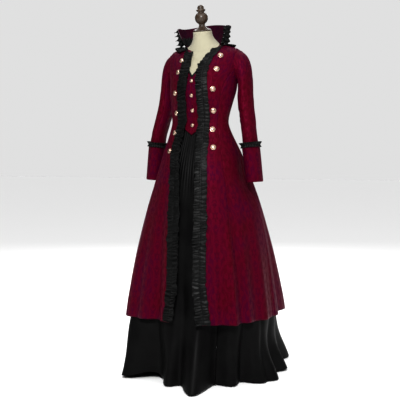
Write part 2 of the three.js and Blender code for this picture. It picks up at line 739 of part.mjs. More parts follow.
function buttonGeometry({ radius, rim, dome }) {
  const profile = [
    [0, 0], [radius * 0.9, 0], [radius, rim], [radius * 0.78, mix(rim, dome, 0.62)], [0, dome],
  ].map(([across, up]) => new THREE.Vector2(across, up));
  return new THREE.LatheGeometry(profile, BUTTON_SIDES);
}

// A button's back is flat, so it stands on the highest cloth under its rim.
function addButton(name, size, level, across, moved) {
  const angle = (row, aside) => {
    const share = (across + aside) / readTable(BODY_RINGS, row).width;
    return THREE.MathUtils.radToDeg(Math.asin(share));
  };
  const { point, out } = betweenRows(level, (row) => angle(row, 0));
  const highest = Math.max(...Array.from({ length: BUTTON_SIDES }, (_, step) => {
    const turn = (2 * Math.PI * step) / BUTTON_SIDES;
    const aside = size.radius * Math.sin(turn);
    const rim = betweenRows(level + size.radius * Math.cos(turn), (row) => angle(row, aside));
    return rim.point.sub(point).dot(out);
  }), 0);
  const button = add(name, buttonGeometry(size), BRASS);
  button.position.copy(point.addScaledVector(out, BUTTON_SEAT + moved + highest));
  button.quaternion.setFromUnitVectors(new THREE.Vector3(0, 1, 0), out);
}

function addButtons() {
  COAT_BUTTONS.forEach(({ level, across }, number) => {
    addButton(`coat_button_left_${number + 1}`, COAT_BUTTON, level, across, 0);
    addButton(`coat_button_right_${number + 1}`, COAT_BUTTON, level, -across, 0);
  });
  VEST_BUTTON_LEVELS.forEach((level, number) => {
    addButton(`vest_button_${number + 1}`, VEST_BUTTON, level, 0, -VEST_INSET);
  });
}

const SKIRT_SEAMS = [-58, 32, 133, 222, 302];
const SKIRT_PIECES = ['skirt_front', 'skirt_left', 'skirt_back', 'skirt_right'];

function addSkirt() {
  SKIRT_PIECES.forEach((name, piece) => {
    const geometry = panel({
      surface: skirtSurface,
      normal: skirtNormal,
      downs: SKIRT_LEVELS,
      from: () => SKIRT_SEAMS[piece],
      to: () => SKIRT_SEAMS[piece + 1],
      columns: 15,
      cloth: SKIRT_CLOTH,
    });
    add(name, geometry, BLACK_TAFFETA);
  });
}

// The dress form is a solid torso with a plain neck, a turned cap, and a stand hidden by the skirt.
const FORM_SIDES = 26;
const CAP_PROFILE = table('radius height', [
  [0, 0], [38, 0], [38, 4], [28, 11], [14, 19], [11, 27], [21, 38], [28, 55], [26, 68], [12, 82], [20, 88],
  [13, 96], [13, 102], [0, 110],
]);
const CAP_SIDES = 14;
const POLE = { radius: 14, sides: 16 };
const BASE_PROFILE = table('radius height', [[0, 0], [170, 0], [170, 9], [30, 18], [0, 18]]);
const BASE_SIDES = 28;

function addForm() {
  const neck = [...NECK_RINGS].reverse().map((ring) => Array.from({ length: FORM_SIDES }, (_, step) => {
    const point = ringPoint({ ...ring, side: 0, front: 0, back: 0 }, (360 * step) / FORM_SIDES);
    return point.setZ(ring.height + (point.y - ring.centre) * Math.tan(radians(ring.lean)));
  }));
  const torso = [...FORM_LEVELS].reverse().map((level) => {
    const inset = readTable(FORM_INSETS, level).inset;
    return fullRing(coatSurface, coatNormal, level, FORM_SIDES, -inset);
  });
  torso[torso.length - 1].forEach((point) => point.setZ(FORM_BOTTOM));
  add('form_body', stack([...neck, ...torso]), CREAM);

  const cap = add('form_cap', lathe(CAP_PROFILE, CAP_SIDES), DARK_WOOD);
  const top = NECK_RINGS[NECK_RINGS.length - 1];
  cap.position.set(0, top.centre, top.height + SEAM_GAP);
  cap.rotation.x = Math.PI / 2 + radians(NECK_LEAN);

  const baseTop = BASE_PROFILE[BASE_PROFILE.length - 1].height;
  const length = FORM_BOTTOM - baseTop - 2 * SEAM_GAP;
  const rod = new THREE.CylinderGeometry(POLE.radius, POLE.radius, length, POLE.sides);
  const pole = add('stand_pole', rod, STAND_METAL);
  pole.position.z = baseTop + SEAM_GAP + length / 2;
  pole.rotation.x = Math.PI / 2;
  const base = add('stand_base', lathe(BASE_PROFILE, BASE_SIDES), STAND_METAL);
  base.rotation.x = Math.PI / 2;
}

function lathe(profile, sides) {
  const outline = profile.map(({ radius, height }) => new THREE.Vector2(radius, height));
  return new THREE.LatheGeometry(outline, sides);
}

gown.name = 'ball_gown';
addCoat();
addSleeves();
addCuffs();
addCollar();
addFrontRuffles();
addNeckRuffle();
addCollarRuffles();
addCuffRuffles();
addVest();
addButtons();
addSkirt();
addForm();

export default gown;
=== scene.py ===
"""The finished look of a ball gown on a dress form: a brocade coat with ruffle bands and domed buttons over a
mock vest and a gathered taffeta skirt. Shapes are worked out in millimetres, and meshes are in metres."""

import math

import bpy
import numpy as np
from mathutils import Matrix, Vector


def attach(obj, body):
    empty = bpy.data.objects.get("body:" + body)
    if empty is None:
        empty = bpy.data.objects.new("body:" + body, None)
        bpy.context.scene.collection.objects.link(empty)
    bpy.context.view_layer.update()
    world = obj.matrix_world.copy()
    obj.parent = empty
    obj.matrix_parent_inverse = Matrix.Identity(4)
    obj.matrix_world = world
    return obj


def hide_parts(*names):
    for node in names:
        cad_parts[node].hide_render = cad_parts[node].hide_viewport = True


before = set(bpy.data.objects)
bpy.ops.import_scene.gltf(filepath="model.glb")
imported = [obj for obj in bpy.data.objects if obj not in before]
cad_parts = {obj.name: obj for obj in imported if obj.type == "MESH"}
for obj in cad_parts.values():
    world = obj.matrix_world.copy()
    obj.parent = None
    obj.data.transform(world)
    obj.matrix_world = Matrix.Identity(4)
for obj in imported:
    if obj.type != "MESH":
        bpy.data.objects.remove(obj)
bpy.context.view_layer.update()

MM = 0.001
COAT_CLOTH = 2.0
VEST_CLOTH = 1.8
CUFF_CLOTH = 1.6
SKIRT_CLOTH = 1.6
RUFFLE_CLOTH = 0.9
SEAM_GAP = 0.36
COAT_TOP = 1400
COAT_HEM = 250.0
WAIST = 1055
FORM_BOTTOM = 905
VEST_INSET = 2.5
SIDES = ((1, "left"), (-1, "right"))
# The short steps that slopes are taken over, on heights, on a sleeve's stations and on the collar's rise
LEVEL_STEP, STATION_STEP, RISE_STEP = -2.0, 0.004, -0.002


def table(names, rows):
    """A table's columns as arrays, in rising order of its first column."""
    columns = np.array(rows, float).T
    order = np.argsort(columns[0], kind="stable")
    return dict(zip(names.split(), columns[:, order]))


# The body's rings. The lower ones are level, so a single height serves all four of their heights.
SLOPING_RINGS = [
    (1400, 1382, 1352, 1394, 80, 50, 80, 20), (1375, 1375, 1336, 1381, 118, 62, 94, 28),
    (1350, 1359, 1316, 1356, 153, 74, 104, 35), (1318, 1321, 1294, 1318, 161, 88, 108, 34),
    (1280, 1280, 1271, 1279, 157, 101, 107, 27),
]
LEVEL_RINGS = [
    (1240, 150, 114, 102, 17), (1190, 146, 122, 95, 6), (1140, 137, 116, 83, -11), (1095, 129, 109, 71, -26),
    (1055, 124, 107, 66, -31), (1017, 134, 116, 77, -28), (975, 150, 134, 100, -16), (935, 167, 152, 130, -7),
    (870, 190, 178, 176, 5), (785, 219, 200, 222, 14), (680, 250, 220, 266, 20), (540, 284, 240, 314, 28),
    (395, 311, 258, 358, 34), (250, 331, 276, 400, 40), (120, 336, 296, 428, 40), (4, 342, 312, 456, 40),
]
BODY_RINGS = table("level side front back width ahead behind centre",
                   SLOPING_RINGS + [row[:1] * 4 + row[1:] for row in LEVEL_RINGS])
# Ridges, valleys and creases are angle, spread, depth and top. A crease with a negative depth is a ridge.
BODY_RIDGES = [(-47, 14, 30, 800), (45, 8, 15, 700), (126, 16, 9, 860)]
COAT_VALLEYS = [
    (-168, 8, 15, 860), (-140, 8, 13, 760), (-117, 7, 15, 880), (-92, 8, 18, 740), (-68, 8, 15, 820),
    (-28, 7, 9, 820), (-11, 12, 20, 620), (36, 6, 9, 640), (55, 7, 19, 900), (81, 10, 26, 780),
    (102, 11, 28, 860), (152, 8, 14, 860),
]
COAT_CREASES = [
    (43, 3.6, -7, 860), (48.5, 4.2, 27, 930), (56.5, 3.8, -9, 820), (65, 6.4, 24, 860), (75, 4.5, -7, 700),
    (33, 2.6, 8, 740), (26, 2.8, 7, 800), (88, 3.4, 8, 740), (97, 3, -4, 700), (108, 3.6, 9, 780),
    (119, 4, -5, 700), (129, 3.6, 9, 720), (141, 3.4, 6, 700), (163, 4, 9, 760), (173, 3, -4, 640),
    (182, 3.2, 9, 740), (-21, 5.0, 28, 900), (-15, 2.4, -3, 700), (-29, 4.5, -7, 760), (-37, 3.2, 12, 760),
    (-52, 3.6, 10, 760), (-60, 3, -4, 700), (-77, 3.6, 10, 780), (-85, 3, -4, 640), (-104, 3.8, 10, 760),
    (-129, 3.6, 9, 700), (-135, 3, -4, 700), (-154, 3.8, 10, 760),
]
ARM_DENT = dict(angle=86, spread=18, depth=25, level=815, tall=80)
# The black skirt's ridges, as angle, spread and height under the coat and at the hem
SKIRT_FOLDS = [
    (-172, 10, 1.0, 1.0), (-146, 9, 0.8, 0.8), (-122, 10, 0.95, 0.95), (-99, 8, 0.75, 0.75),
    (-72, 9, 0.85, 0.85), (-42, 10, 1.05, 1.7), (-6, 8, 0.75, 0.6), (16, 9, 1.7, 1.3), (45, 7, 0.3, 0.3),
    (66, 7, 0.5, 0.5), (80, 12, 1.0, 0.4), (104, 9, 0.95, 0.3), (136, 12, 1.35, 0.9), (163, 8, 0.8, 0.8),
]
# Sharper valleys of the black skirt between its ridges, as angle, spread and depth at the hem
SKIRT_CREASES = [
    (-25, 4.4, 12), (-57, 4, 9), (-84, 4, 10), (-111, 4.2, 9), (-134, 4, 9), (-160, 4, 10), (2, 3.4, 9),
    (31, 4.2, 14), (55, 3.6, 8), (73, 3, 8), (93, 4, 10), (121, 4.2, 9), (150, 4.2, 10), (175, 3.6, 8),
    (8, 2, -3), (22, 2.4, 4), (-13, 2.6, -3), (40, 2.4, -4), (-35, 3, -4), (62, 2.4, -3),
]
SKIRT_DEPTHS = table("level inset rise", [
    (1055, 4.9, 0), (1017, 8, 1.5), (965, 14, 5), (870, 23, 8), (785, 29, 9), (600, 35, 10), (400, 44, 14),
    (250, 53, 24), (120, 70, 50), (4, 82, 86),
])
HEM_LIFT = dict(angle=-30, spread=7, lift=26, reach=200)
FRONT_EDGES = table("level left right", [
    (1400, 76, 33), (1375, 72, 34), (1350, 55, 33), (1318, 43, 34), (1280, 38, 34), (1240, 36, 35),
    (1190, 40, 40), (1140, 43, 43), (1095, 44, 44), (1055, 44, 46), (1017, 45, 50), (935, 53, 56),
    (870, 60, 44), (785, 68, 34), (680, 75, 27), (540, 81, 23), (395, 88, 23), (250, 110, 38),
])
PRINCESS_SEAMS = table("level front back", [
    (1280, 74, 72), (1240, 62, 60), (1190, 54, 48), (1140, 52, 42), (1055, 54, 39), (935, 49, 39),
    (250, 44, 40),
])
SIDE_SEAM = 90.0
ARMHOLE_LEVEL = 1300.0
SLEEVE_RINGS = table("station x y z tilt out deep", [
    (0, 118, 38, 1292, 6, 58, 51), (1, 149, 38, 1288, 9, 61, 51), (2, 163, 38, 1276, 27, 54, 52),
    (3, 174, 37, 1240, 62, 34, 52), (4, 180, 34, 1198, 80, 29.5, 51), (5, 182, 28, 1160, 82, 31, 49),
    (6, 189, 20, 1113, 81, 32, 47), (7, 200, 9, 1062, 79, 31, 45), (8, 211, -3, 1008, 82, 29.5, 43),
    (9, 218, -6, 960, 85, 31, 42), (10, 227, -5, 884, 85, 31.5, 42), (11, 235, -4, 807, 86, 32, 42),
])
SLEEVE_SEAM = 105.0
RIGHT_ARM = dict(top=1200, bottom=1080, inward=6, up=5)
# Creases round the elbow and under the arm: where, along the sleeve, lean, half width, half length, depth
SLEEVE_CREASES = [
    (178, 6.35, 0.0022, 0.17, 74, 2.4), (200, 6.75, -0.0034, 0.15, 66, 2.1),
    (150, 5.95, 0.0042, 0.16, 60, 1.9), (186, 7.2, 0.0018, 0.17, 58, 1.6), (120, 6.5, 0.0056, 0.14, 46, 1.3),
    (232, 6.15, -0.0048, 0.15, 50, 1.7), (255, 5.1, -0.006, 0.2, 46, 1.3), (60, 5.6, 0.006, 0.2, 44, -1.0),
    (160, 4.7, 0.004, 0.2, 56, 1.5), (300, 4.2, -0.008, 0.26, 40, 1.1), (30, 7.6, 0.005, 0.2, 40, 0.9),
    (330, 8.3, -0.004, 0.18, 46, 1.0), (40, 3.4, 0.004, 0.2, 34, -0.9), (280, 3.3, -0.006, 0.22, 36, -1.0),
]
SLEEVE_HEAD = dict(overlap=0.7, fillet=15, sunk=1.2, rows=0.24)
CUFF_STANDOFF = (5.0, 2.5)
COLLAR_TOP = dict(side=1461, front=1400, back=1484, width=117, ahead=96, behind=110, centre=18)
COLLAR_FLARE = 0.7
COLLAR_CORNER = 72.0
FORM_INSETS = table("level inset", [
    (1400, 7), (1318, 6.2), (1240, 5.7), (1100, 5.7), (1055, 9.5), (1017, 16), (975, 26), (935, 36),
    (905, 48),
])
NECK_RINGS = table("height lean width ahead behind centre", [
    (1393, 20, 58, 44, 62, 12), (1408, 17, 47, 43, 50, 6), (1424, 13, 41, 44, 41, 0),
    (1441, 11, 39, 46, 34, -6),
])
BAND = dict(top=1386, bottom=251, length=1170.0, half_top=23, half_bottom=28, inboard=5, lift=1.1)
VEST = dict(neck_dip=1240, neck_top=1322, point=1003, hem_side=1046, bust=1205, half=66, chest_half=47)
# The domed buttons, as level and distance from the centre
LEFT_BUTTONS = [(1345, 101), (1276, 95), (1188, 87), (1100, 86), (1023, 85), (949, 98)]
RIGHT_BUTTONS = [(1338, 66), (1268, 72), (1176, 83), (1093, 80), (1011, 84), (935, 95)]
VEST_BUTTON_LEVELS = [1222, 1162, 1101, 1041]
LARGE_BUTTON = dict(radius=11.4, dome=7.2)
SMALL_BUTTON = dict(radius=7.5, dome=4.7)
POLE = dict(radius=14, bottom=18.4, top=904.6)
BASE = dict(radius=170, edge=9, boss=30, thick=18)
AXIS_HOLE = 0.05
SKIRT_SEAMS = [-58, 32, 133, 222, 302]


def read(rows, at):
    """A smooth cubic through each column of a table, held still beyond its ends."""
    keys = next(iter(rows.values()))
    at = np.clip(at, keys[0], keys[-1])
    low = np.clip(np.searchsorted(keys, at, side="right") - 1, 0, len(keys) - 2)
    span = keys[low + 1] - keys[low]
    share = (at - keys[low]) / span
    square, cube = share**2, share**3
    found = {}
    for name, values in rows.items():
        slopes = np.empty_like(values)
        slopes[1:-1] = (values[2:] - values[:-2]) / (keys[2:] - keys[:-2])
        slopes[0] = (values[1] - values[0]) / (keys[1] - keys[0])
        slopes[-1] = (values[-1] - values[-2]) / (keys[-1] - keys[-2])
        start, end = values[low], values[low + 1]
        leave, arrive = slopes[low] * span, slopes[low + 1] * span
        found[name] = (start * (2 * cube - 3 * square + 1) + leave * (cube - 2 * square + share)
                       + end * (3 * square - 2 * cube) + arrive * (cube - square))
    return found


def smooth(value, low, high):
    """Rises softly from 0 at low to 1 at high."""
    share = np.clip((value - low) / (high - low), 0, 1)
    return share * share * (3 - 2 * share)


def bump(offset, spread):
    """A bell that is 1 where the offset is 0."""
    return np.exp(-((offset / spread) ** 2))


def unit(vectors):
    """Each vector divided by its length."""
    return vectors / np.linalg.norm(vectors, axis=-1, keepdims=True)


def between(first, second):
    """The turn from one angle to another, from -180 to 180 degrees."""
    return np.mod(first - second + 180, 360) - 180


def uneven(across, down, seed, waves=9):
    """Soft unevenness of about -1 to 1: slow waves added up, in random directions from a seed."""
    dice = np.random.default_rng(seed)
    total = np.zeros(np.broadcast(across, down).shape)
    for turn, size, phase in zip(dice.uniform(0, math.tau, waves), dice.uniform(0.6, 2.2, waves),
                                 dice.uniform(0, math.tau, waves)):
        total = total + np.sin(size * (across * math.cos(turn) + down * math.sin(turn)) + phase)
    return total / math.sqrt(waves)


def ring_point(ring, angle, outward=0.0):
    """Two half ellipses that meet at the widest point, bent between the side, front and back heights."""
    turn = np.radians(angle)
    across, along = np.sin(turn), np.cos(turn)
    reach = np.where(along > 0, ring["ahead"] + ring["centre"], ring["behind"] - ring["centre"])
    slant = np.where(along > 0, ring["front"], ring["back"])
    height = ring["side"] * across**2 + slant * along**2
    side_slope, front_slope = across * reach, -along * ring["width"]
    length = np.hypot(side_slope, front_slope)
    x = ring["width"] * across + side_slope / length * outward
    y = ring["centre"] - reach * along + front_slope / length * outward
    return np.stack(np.broadcast_arrays(x, y, height), -1)


def folds(rows, angle, level):
    """The sum of ridges or valleys, each a bell across and growing from its top to the coat's hem."""
    total = 0.0
    for place, spread, size, top in rows:
        growth = smooth(top - level, 0, top - COAT_HEM)
        total = total + size * growth * bump(between(angle, place), spread)
    return total


def arm_dent(angle, level):
    """A hollow in the coat beside each hand, a bell across and down."""
    beside = bump(between(np.abs(between(angle, 0)), ARM_DENT["angle"]), ARM_DENT["spread"])
    return ARM_DENT["depth"] * beside * bump(level - ARM_DENT["level"], ARM_DENT["tall"])


def coat_wear(angle, level):
    """Soft unevenness of the worn coat: small on the bodice, larger where the skirt hangs free."""
    hang = smooth(935 - level, 0, 500)
    turn = np.radians(between(angle, 0))
    drag = 0.35 * uneven(turn * 5, level / 55, 4) * smooth(level, 900, 1020)
    return drag + 2.0 * hang * uneven(turn * 4.5, level / 240, 11)


def coat(angle, level):
    """The coat's outer face: body rings moved outwards by ridges and inwards by valleys and creases."""
    outward = folds(BODY_RIDGES, angle, level) - folds(COAT_VALLEYS, angle, level) - arm_dent(angle, level)
    outward = outward - folds(COAT_CREASES, angle, level) + coat_wear(angle, level)
    return ring_point(read(BODY_RINGS, level), angle, outward)


def taffeta_wear(angle, level):
    """Gathers below the waist that fade into the folds, and stiff dents lower down."""
    turn = np.radians(between(angle, 0))
    gathers = 0.5 - 0.5 * np.sin(88 * turn + 1.3 * np.sin(9 * turn))
    fine = 0.5 - 0.5 * np.sin(161 * turn + 2.1 * np.sin(7 * turn + 1))
    top = smooth(level, 700, 985)
    pull = (0.8 + 5.2 * smooth(1052 - level, 0, 75)) * top
    low = smooth(700 - level, 0, 420)
    dents = 3.4 * low * uneven(turn * 7, level / 75, 23) + 1.5 * low * uneven(turn * 17, level / 42, 8)
    return dents - pull * (0.72 * gathers + 0.28 * fine)


def skirt(angle, level):
    """The skirt's outer face: the body's rings moved in, with ridges that stand out towards the hem."""
    depths = read(SKIRT_DEPTHS, level)
    early = smooth(level, 0, COAT_HEM)
    ridges = sum((height + (high - height) * early) * bump(between(angle, place), spread)
                 for place, spread, height, high in SKIRT_FOLDS)
    outward = depths["rise"] * ridges - depths["inset"] + taffeta_wear(angle, level)
    for place, spread, depth in SKIRT_CREASES:
        growth = smooth(620 - level, 0, 560) * (1 + 0.5 * uneven(level / 160 + place, level * 0, 29, 5))
        outward = outward - depth * growth * bump(between(angle, place), spread)
    outward = outward + folds(BODY_RIDGES, angle, level) - arm_dent(angle, level)
    point = ring_point(read(BODY_RINGS, level), angle, outward)
    reach = 1 - smooth(level, 0, HEM_LIFT["reach"])
    ripple = 2.5 + 2.5 * uneven(np.radians(angle) * 9, level * 0, 31)
    point[..., 2] += reach * (HEM_LIFT["lift"] * bump(between(angle, HEM_LIFT["angle"]), HEM_LIFT["spread"]))
    point[..., 2] += reach * np.clip(ripple, 0, 6)
    return point


def collar(angle, rise):
    """The collar's outer face, from the neck seam to its top edge, flaring quickly and then upright."""
    seam = ring_point(read(BODY_RINGS, 1400.0), angle)
    top = ring_point(COLLAR_TOP, angle)
    flare = np.maximum(rise, 0) ** COLLAR_FLARE
    share = np.stack(np.broadcast_arrays(flare, flare, rise), -1)
    point = seam + (top - seam) * share
    point[..., 2] += SEAM_GAP
    return point


def sleeve(angle, station):
    """Ellipses across the arm. The angle is 0 outside, 90 at the back and 180 beside the body."""
    ring = read(SLEEVE_RINGS, station)
    tilt, turn = np.radians(ring["tilt"]), np.radians(angle)
    crease = 0.0
    for place, along, lean, wide, long, depth in SLEEVE_CREASES:
        aside = between(angle, place)
        crease = crease + depth * bump(station - along - lean * aside, wide) * bump(aside, long)
    crease = (crease + 0.5 * uneven(turn * 2.2, station * 1.8, 5)) * (1 - smooth(station, 8.5, 9))
    out = (ring["out"] - crease) * np.cos(turn)
    back = (ring["deep"] - crease) * np.sin(turn)
    return np.stack(np.broadcast_arrays(ring["x"] + np.sin(tilt) * out, ring["y"] + back,
                                        ring["z"] + np.cos(tilt) * out), -1)


def normals(surface, angle, down, step):
    """Outward normals of a surface, from its slopes round and down."""
    around = surface(angle + 1.0, down) - surface(angle - 1.0, down)
    fall = surface(angle, down + step) - surface(angle, down - step)
    return unit(np.cross(fall, around))


def coat_out(angle, level):
    """Outward normals of the coat, from its slopes over 2 mm up and down."""
    return normals(coat, angle, level, LEVEL_STEP)


def degree_length(surface, angle, down):
    """The chord in millimetres across one degree of a surface."""
    return np.linalg.norm(surface(angle + 0.5, down) - surface(angle - 0.5, down), axis=-1)


def cloth_map(points):
    """Cloth coordinates in metres: distance from the middle column, and distance down the middle column."""
    steps = np.linalg.norm(np.diff(points, axis=1), axis=-1)
    across = np.concatenate([np.zeros((len(points), 1)), np.cumsum(steps, axis=1)], axis=1)
    middle = points.shape[1] // 2
    across = across - across[:, middle:middle + 1]
    fall = np.linalg.norm(np.diff(points[:, middle], axis=0), axis=-1)
    down = np.concatenate([[0.0], np.cumsum(fall)])[:, None] + 0 * across
    return np.stack([across, -down], -1) * MM


def add_object(name, data):
    """A new object in the scene's collection."""
    made = bpy.data.objects.new(name, data)
    bpy.context.scene.collection.objects.link(made)
    return made


def build(name, points, finish, cloth=0.0, closed=False, drop=None, caps=False, mirror=False):
    """A mesh from a grid of points in millimetres. Rows run down and columns run round, seen from outside."""
    rows, columns = points.shape[:2]
    spans = columns if closed else columns - 1
    looped = np.concatenate([points, points[:, :1]], axis=1) if closed else points
    if mirror:
        points = points * (-1, 1, 1)
        looped = looped * (-1, 1, 1)
    chart = cloth_map(looped)
    row, column = [part.ravel() for part in np.mgrid[0:rows - 1, 0:spans]]
    if drop is not None:
        keep = ~(drop[row, column] & drop[row + 1, column] & drop[row, (column + 1) % columns])
        row, column = row[keep], column[keep]
    after = column + 1
    corners = [(row, column), (row + 1, column), (row + 1, after), (row, after)]
    if mirror:
        corners.reverse()
    faces = np.stack([r * columns + c % columns for r, c in corners], -1)
    chart = np.stack([chart[r, c] for r, c in corners], 1).reshape(-1, 2)
    faces = faces.tolist()
    if caps:
        faces += [list(range(columns)), list(range((rows - 1) * columns, rows * columns))[::-1]]
        chart = np.concatenate([chart, np.zeros((2 * columns, 2))])
    mesh = bpy.data.meshes.new(name)
    mesh.from_pydata((points.reshape(-1, 3) * MM).tolist(), [], faces)
    layer = mesh.uv_layers.new(name="Cloth")
    layer.data.foreach_set("uv", chart.astype(np.float32).ravel())
    mesh.polygons.foreach_set("use_smooth", np.ones(len(faces), bool))
    mesh.materials.append(finish)
    mesh.update()
    piece = add_object(name, mesh)
    if cloth:
        shell = piece.modifiers.new("Cloth thickness", "SOLIDIFY")
        shell.thickness = cloth * MM
        shell.offset = -1
    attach(piece, "root")
    return piece


def arc(points, axis):
    """The longest way across a grid along one of its directions, in metres."""
    return float(np.linalg.norm(np.diff(points, axis=axis), axis=-1).sum(axis=axis).max()) * MM


def cut_cloth(points, node):
    """Measures the width and length of a piece of cloth's cut, and hides the node that it stands for."""
    width, length = arc(points, 1), arc(points, 0)
    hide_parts(node)


class Finish:
    """A material with short ways to add and join its nodes."""

    def __init__(self, name, colour, roughness, metallic=0.0):
        self.material = bpy.data.materials.new(name)
        self.material.use_nodes = True
        self.tree = self.material.node_tree
        self.shader = self.tree.nodes["Principled BSDF"]
        self.set(Base_Color=(*colour, 1), Roughness=roughness, Metallic=metallic)

    def add(self, kind, inputs=None, **settings):
        """A new node with its settings and inputs."""
        node = self.tree.nodes.new(kind)
        for name, value in settings.items():
            setattr(node, name, value)
        for name, value in (inputs or {}).items():
            self.join(value, node.inputs[name])
        return node

    def join(self, value, socket):
        """Links another node's socket, or sets a plain value."""
        if isinstance(value, bpy.types.NodeSocket):
            self.tree.links.new(value, socket)
        else:
            socket.default_value = value

    def math(self, operation, first, second=0.0, third=0.0):
        """One sum on up to three values."""
        return self.add("ShaderNodeMath", {0: first, 1: second, 2: third}, operation=operation).outputs[0]

    def step(self, value, low, high):
        """Rises softly from 0 at low to 1 at high."""
        ends = {"Value": value, "From Min": low, "From Max": high}
        return self.add("ShaderNodeMapRange", ends, interpolation_type="SMOOTHSTEP").outputs[0]

    def blend(self, share, first, second):
        """The first colour at a share of 0, the second at 1."""
        node = self.add("ShaderNodeMix", data_type="RGBA")
        for value, socket in ((share, 0), (first, 6), (second, 7)):
            self.join((*value, 1) if isinstance(value, tuple) else value, node.inputs[socket])
        return node.outputs[2]

    def noise(self, where, scale, detail=3.0, roughness=0.55):
        """Cloudy noise from 0 to 1."""
        sizes = {"Vector": where, "Scale": scale, "Detail": detail, "Roughness": roughness}
        return self.add("ShaderNodeTexNoise", sizes).outputs["Fac"]

    def threads(self, where, direction, scale, wobble, detail):
        """Fine parallel ribs across a direction, as a sine wave bent by a wobble."""
        sizes = {"Vector": where, "Scale": scale, "Distortion": wobble, "Detail": detail}
        node = self.add("ShaderNodeTexWave", sizes, wave_type="BANDS", bands_direction=direction)
        return node.outputs["Fac"]

    def place(self, source="UV", scale=(1, 1, 1)):
        """Cloth or object coordinates times a scale."""
        where = self.add("ShaderNodeTexCoord").outputs[source]
        return self.add("ShaderNodeMapping", {"Vector": where, "Scale": scale}).outputs[0]

    def relief(self, height, distance, strength=1.0, under=None):
        """Tilts the face by the slope of a height, on top of the relief under it."""
        inputs = {"Height": height, "Distance": distance, "Strength": strength}
        if under is not None:
            inputs["Normal"] = under
        normal = self.add("ShaderNodeBump", inputs).outputs[0]
        self.join(normal, self.shader.inputs["Normal"])
        return normal

    def set(self, **sockets):
        """Puts values or links on the shader's sockets."""
        for name, value in sockets.items():
            self.join(value, self.shader.inputs[name.replace("_", " ")])
        return self.material


def damask(finish, across, down):
    """A traditional damask: an ogee net with a lobed flower and scrolled leaves in each mesh, as 0 to 1."""
    calc, step = finish.math, finish.step

    def rest(value):
        """What is left of 1."""
        return calc("SUBTRACT", 1.0, value)

    split = finish.add("ShaderNodeSeparateXYZ", {"Vector": finish.place()})
    u, v = calc("DIVIDE", split.outputs[0], across), calc("DIVIDE", split.outputs[1], down)
    wave_u, wave_v, twist = (calc("COSINE", calc("MULTIPLY", value, rate))
                             for value, rate in ((u, math.tau), (v, math.tau), (v, 2 * math.tau)))
    net = calc("ADD", calc("ADD", wave_u, wave_v), calc("MULTIPLY", twist, 0.22))
    height = calc("ABSOLUTE", net)
    ogee = rest(step(height, 0.10, 0.20))
    fine = rest(step(calc("ABSOLUTE", calc("SUBTRACT", height, 0.34)), 0.03, 0.08))
    half = calc("MULTIPLY", calc("GREATER_THAN", net, 0.0), 0.5)
    local_u, local_v = (calc("SUBTRACT", calc("FRACT", calc("ADD", value, half)), 0.5) for value in (u, v))
    side, tall = calc("ABSOLUTE", local_u), calc("MULTIPLY", local_v, 0.8)
    radius = calc("SQRT", calc("ADD", calc("MULTIPLY", side, side), calc("MULTIPLY", tall, tall)))
    angle = calc("ARCTAN2", tall, side)
    lobes = calc("COSINE", calc("MULTIPLY", angle, 6.0))
    edge = calc("MULTIPLY_ADD", lobes, 0.045, 0.205)
    flower = rest(step(calc("SUBTRACT", radius, edge), -0.008, 0.008))
    heart_edge = calc("MULTIPLY_ADD", lobes, -0.03, 0.10)
    heart = rest(step(calc("SUBTRACT", radius, heart_edge), -0.006, 0.006))
    scroll = calc("SINE", calc("ADD", calc("MULTIPLY", angle, 7.0), calc("MULTIPLY", radius, 46.0)))
    leaves = calc("MULTIPLY", step(scroll, 0.15, 0.55), step(radius, 0.25, 0.27))
    petals = calc("MULTIPLY", flower, rest(heart))
    core = rest(step(radius, 0.035, 0.045))
    body = calc("MAXIMUM", calc("MAXIMUM", petals, core), calc("MULTIPLY", leaves, 0.8))
    return calc("MAXIMUM", calc("MAXIMUM", ogee, fine), body)


def brocade(name, ground, figure, violet):
    """Burgundy brocade: a satin figure on a duller ground, woven threads and a soft drift of colour."""
    finish = Finish(name, ground, 0.6)
    pattern = damask(finish, 0.105, 0.158)
    where = finish.place()
    drift = finish.step(finish.noise(where, 5.5, 2.0), 0.38, 0.66)
    base = finish.blend(drift, ground, violet)
    worn = finish.noise(where, 90.0, 3.0)
    colour = finish.blend(finish.math("MULTIPLY", pattern, 0.75), base, figure)
    shade = finish.math("MULTIPLY_ADD", worn, 0.5, 0.75)
    tint = finish.add("ShaderNodeCombineXYZ", {0: shade, 1: shade, 2: shade}).outputs[0]
    colour = finish.add("ShaderNodeVectorMath", {0: colour, 1: tint}, operation="MULTIPLY")
    warp, weft = finish.threads(where, "X", 420.0, 1.5, 1.0), finish.threads(where, "Y", 300.0, 1.5, 1.0)
    under = finish.relief(finish.math("ADD", warp, weft), 0.00008, 0.5)
    under = finish.relief(finish.noise(where, 26.0, 3.0), 0.0012, 0.35, under)
    finish.relief(pattern, 0.00025, 0.6, under)
    rough = finish.math("MULTIPLY_ADD", pattern, -0.16, 0.62)
    return finish.set(Base_Color=colour.outputs[0], Roughness=rough, Sheen_Weight=0.03, Sheen_Roughness=0.4,
                      Sheen_Tint=(0.8, 0.05, 0.3, 1), Specular_IOR_Level=0.22,
                      Specular_Tint=(0.75, 0.05, 0.2, 1))


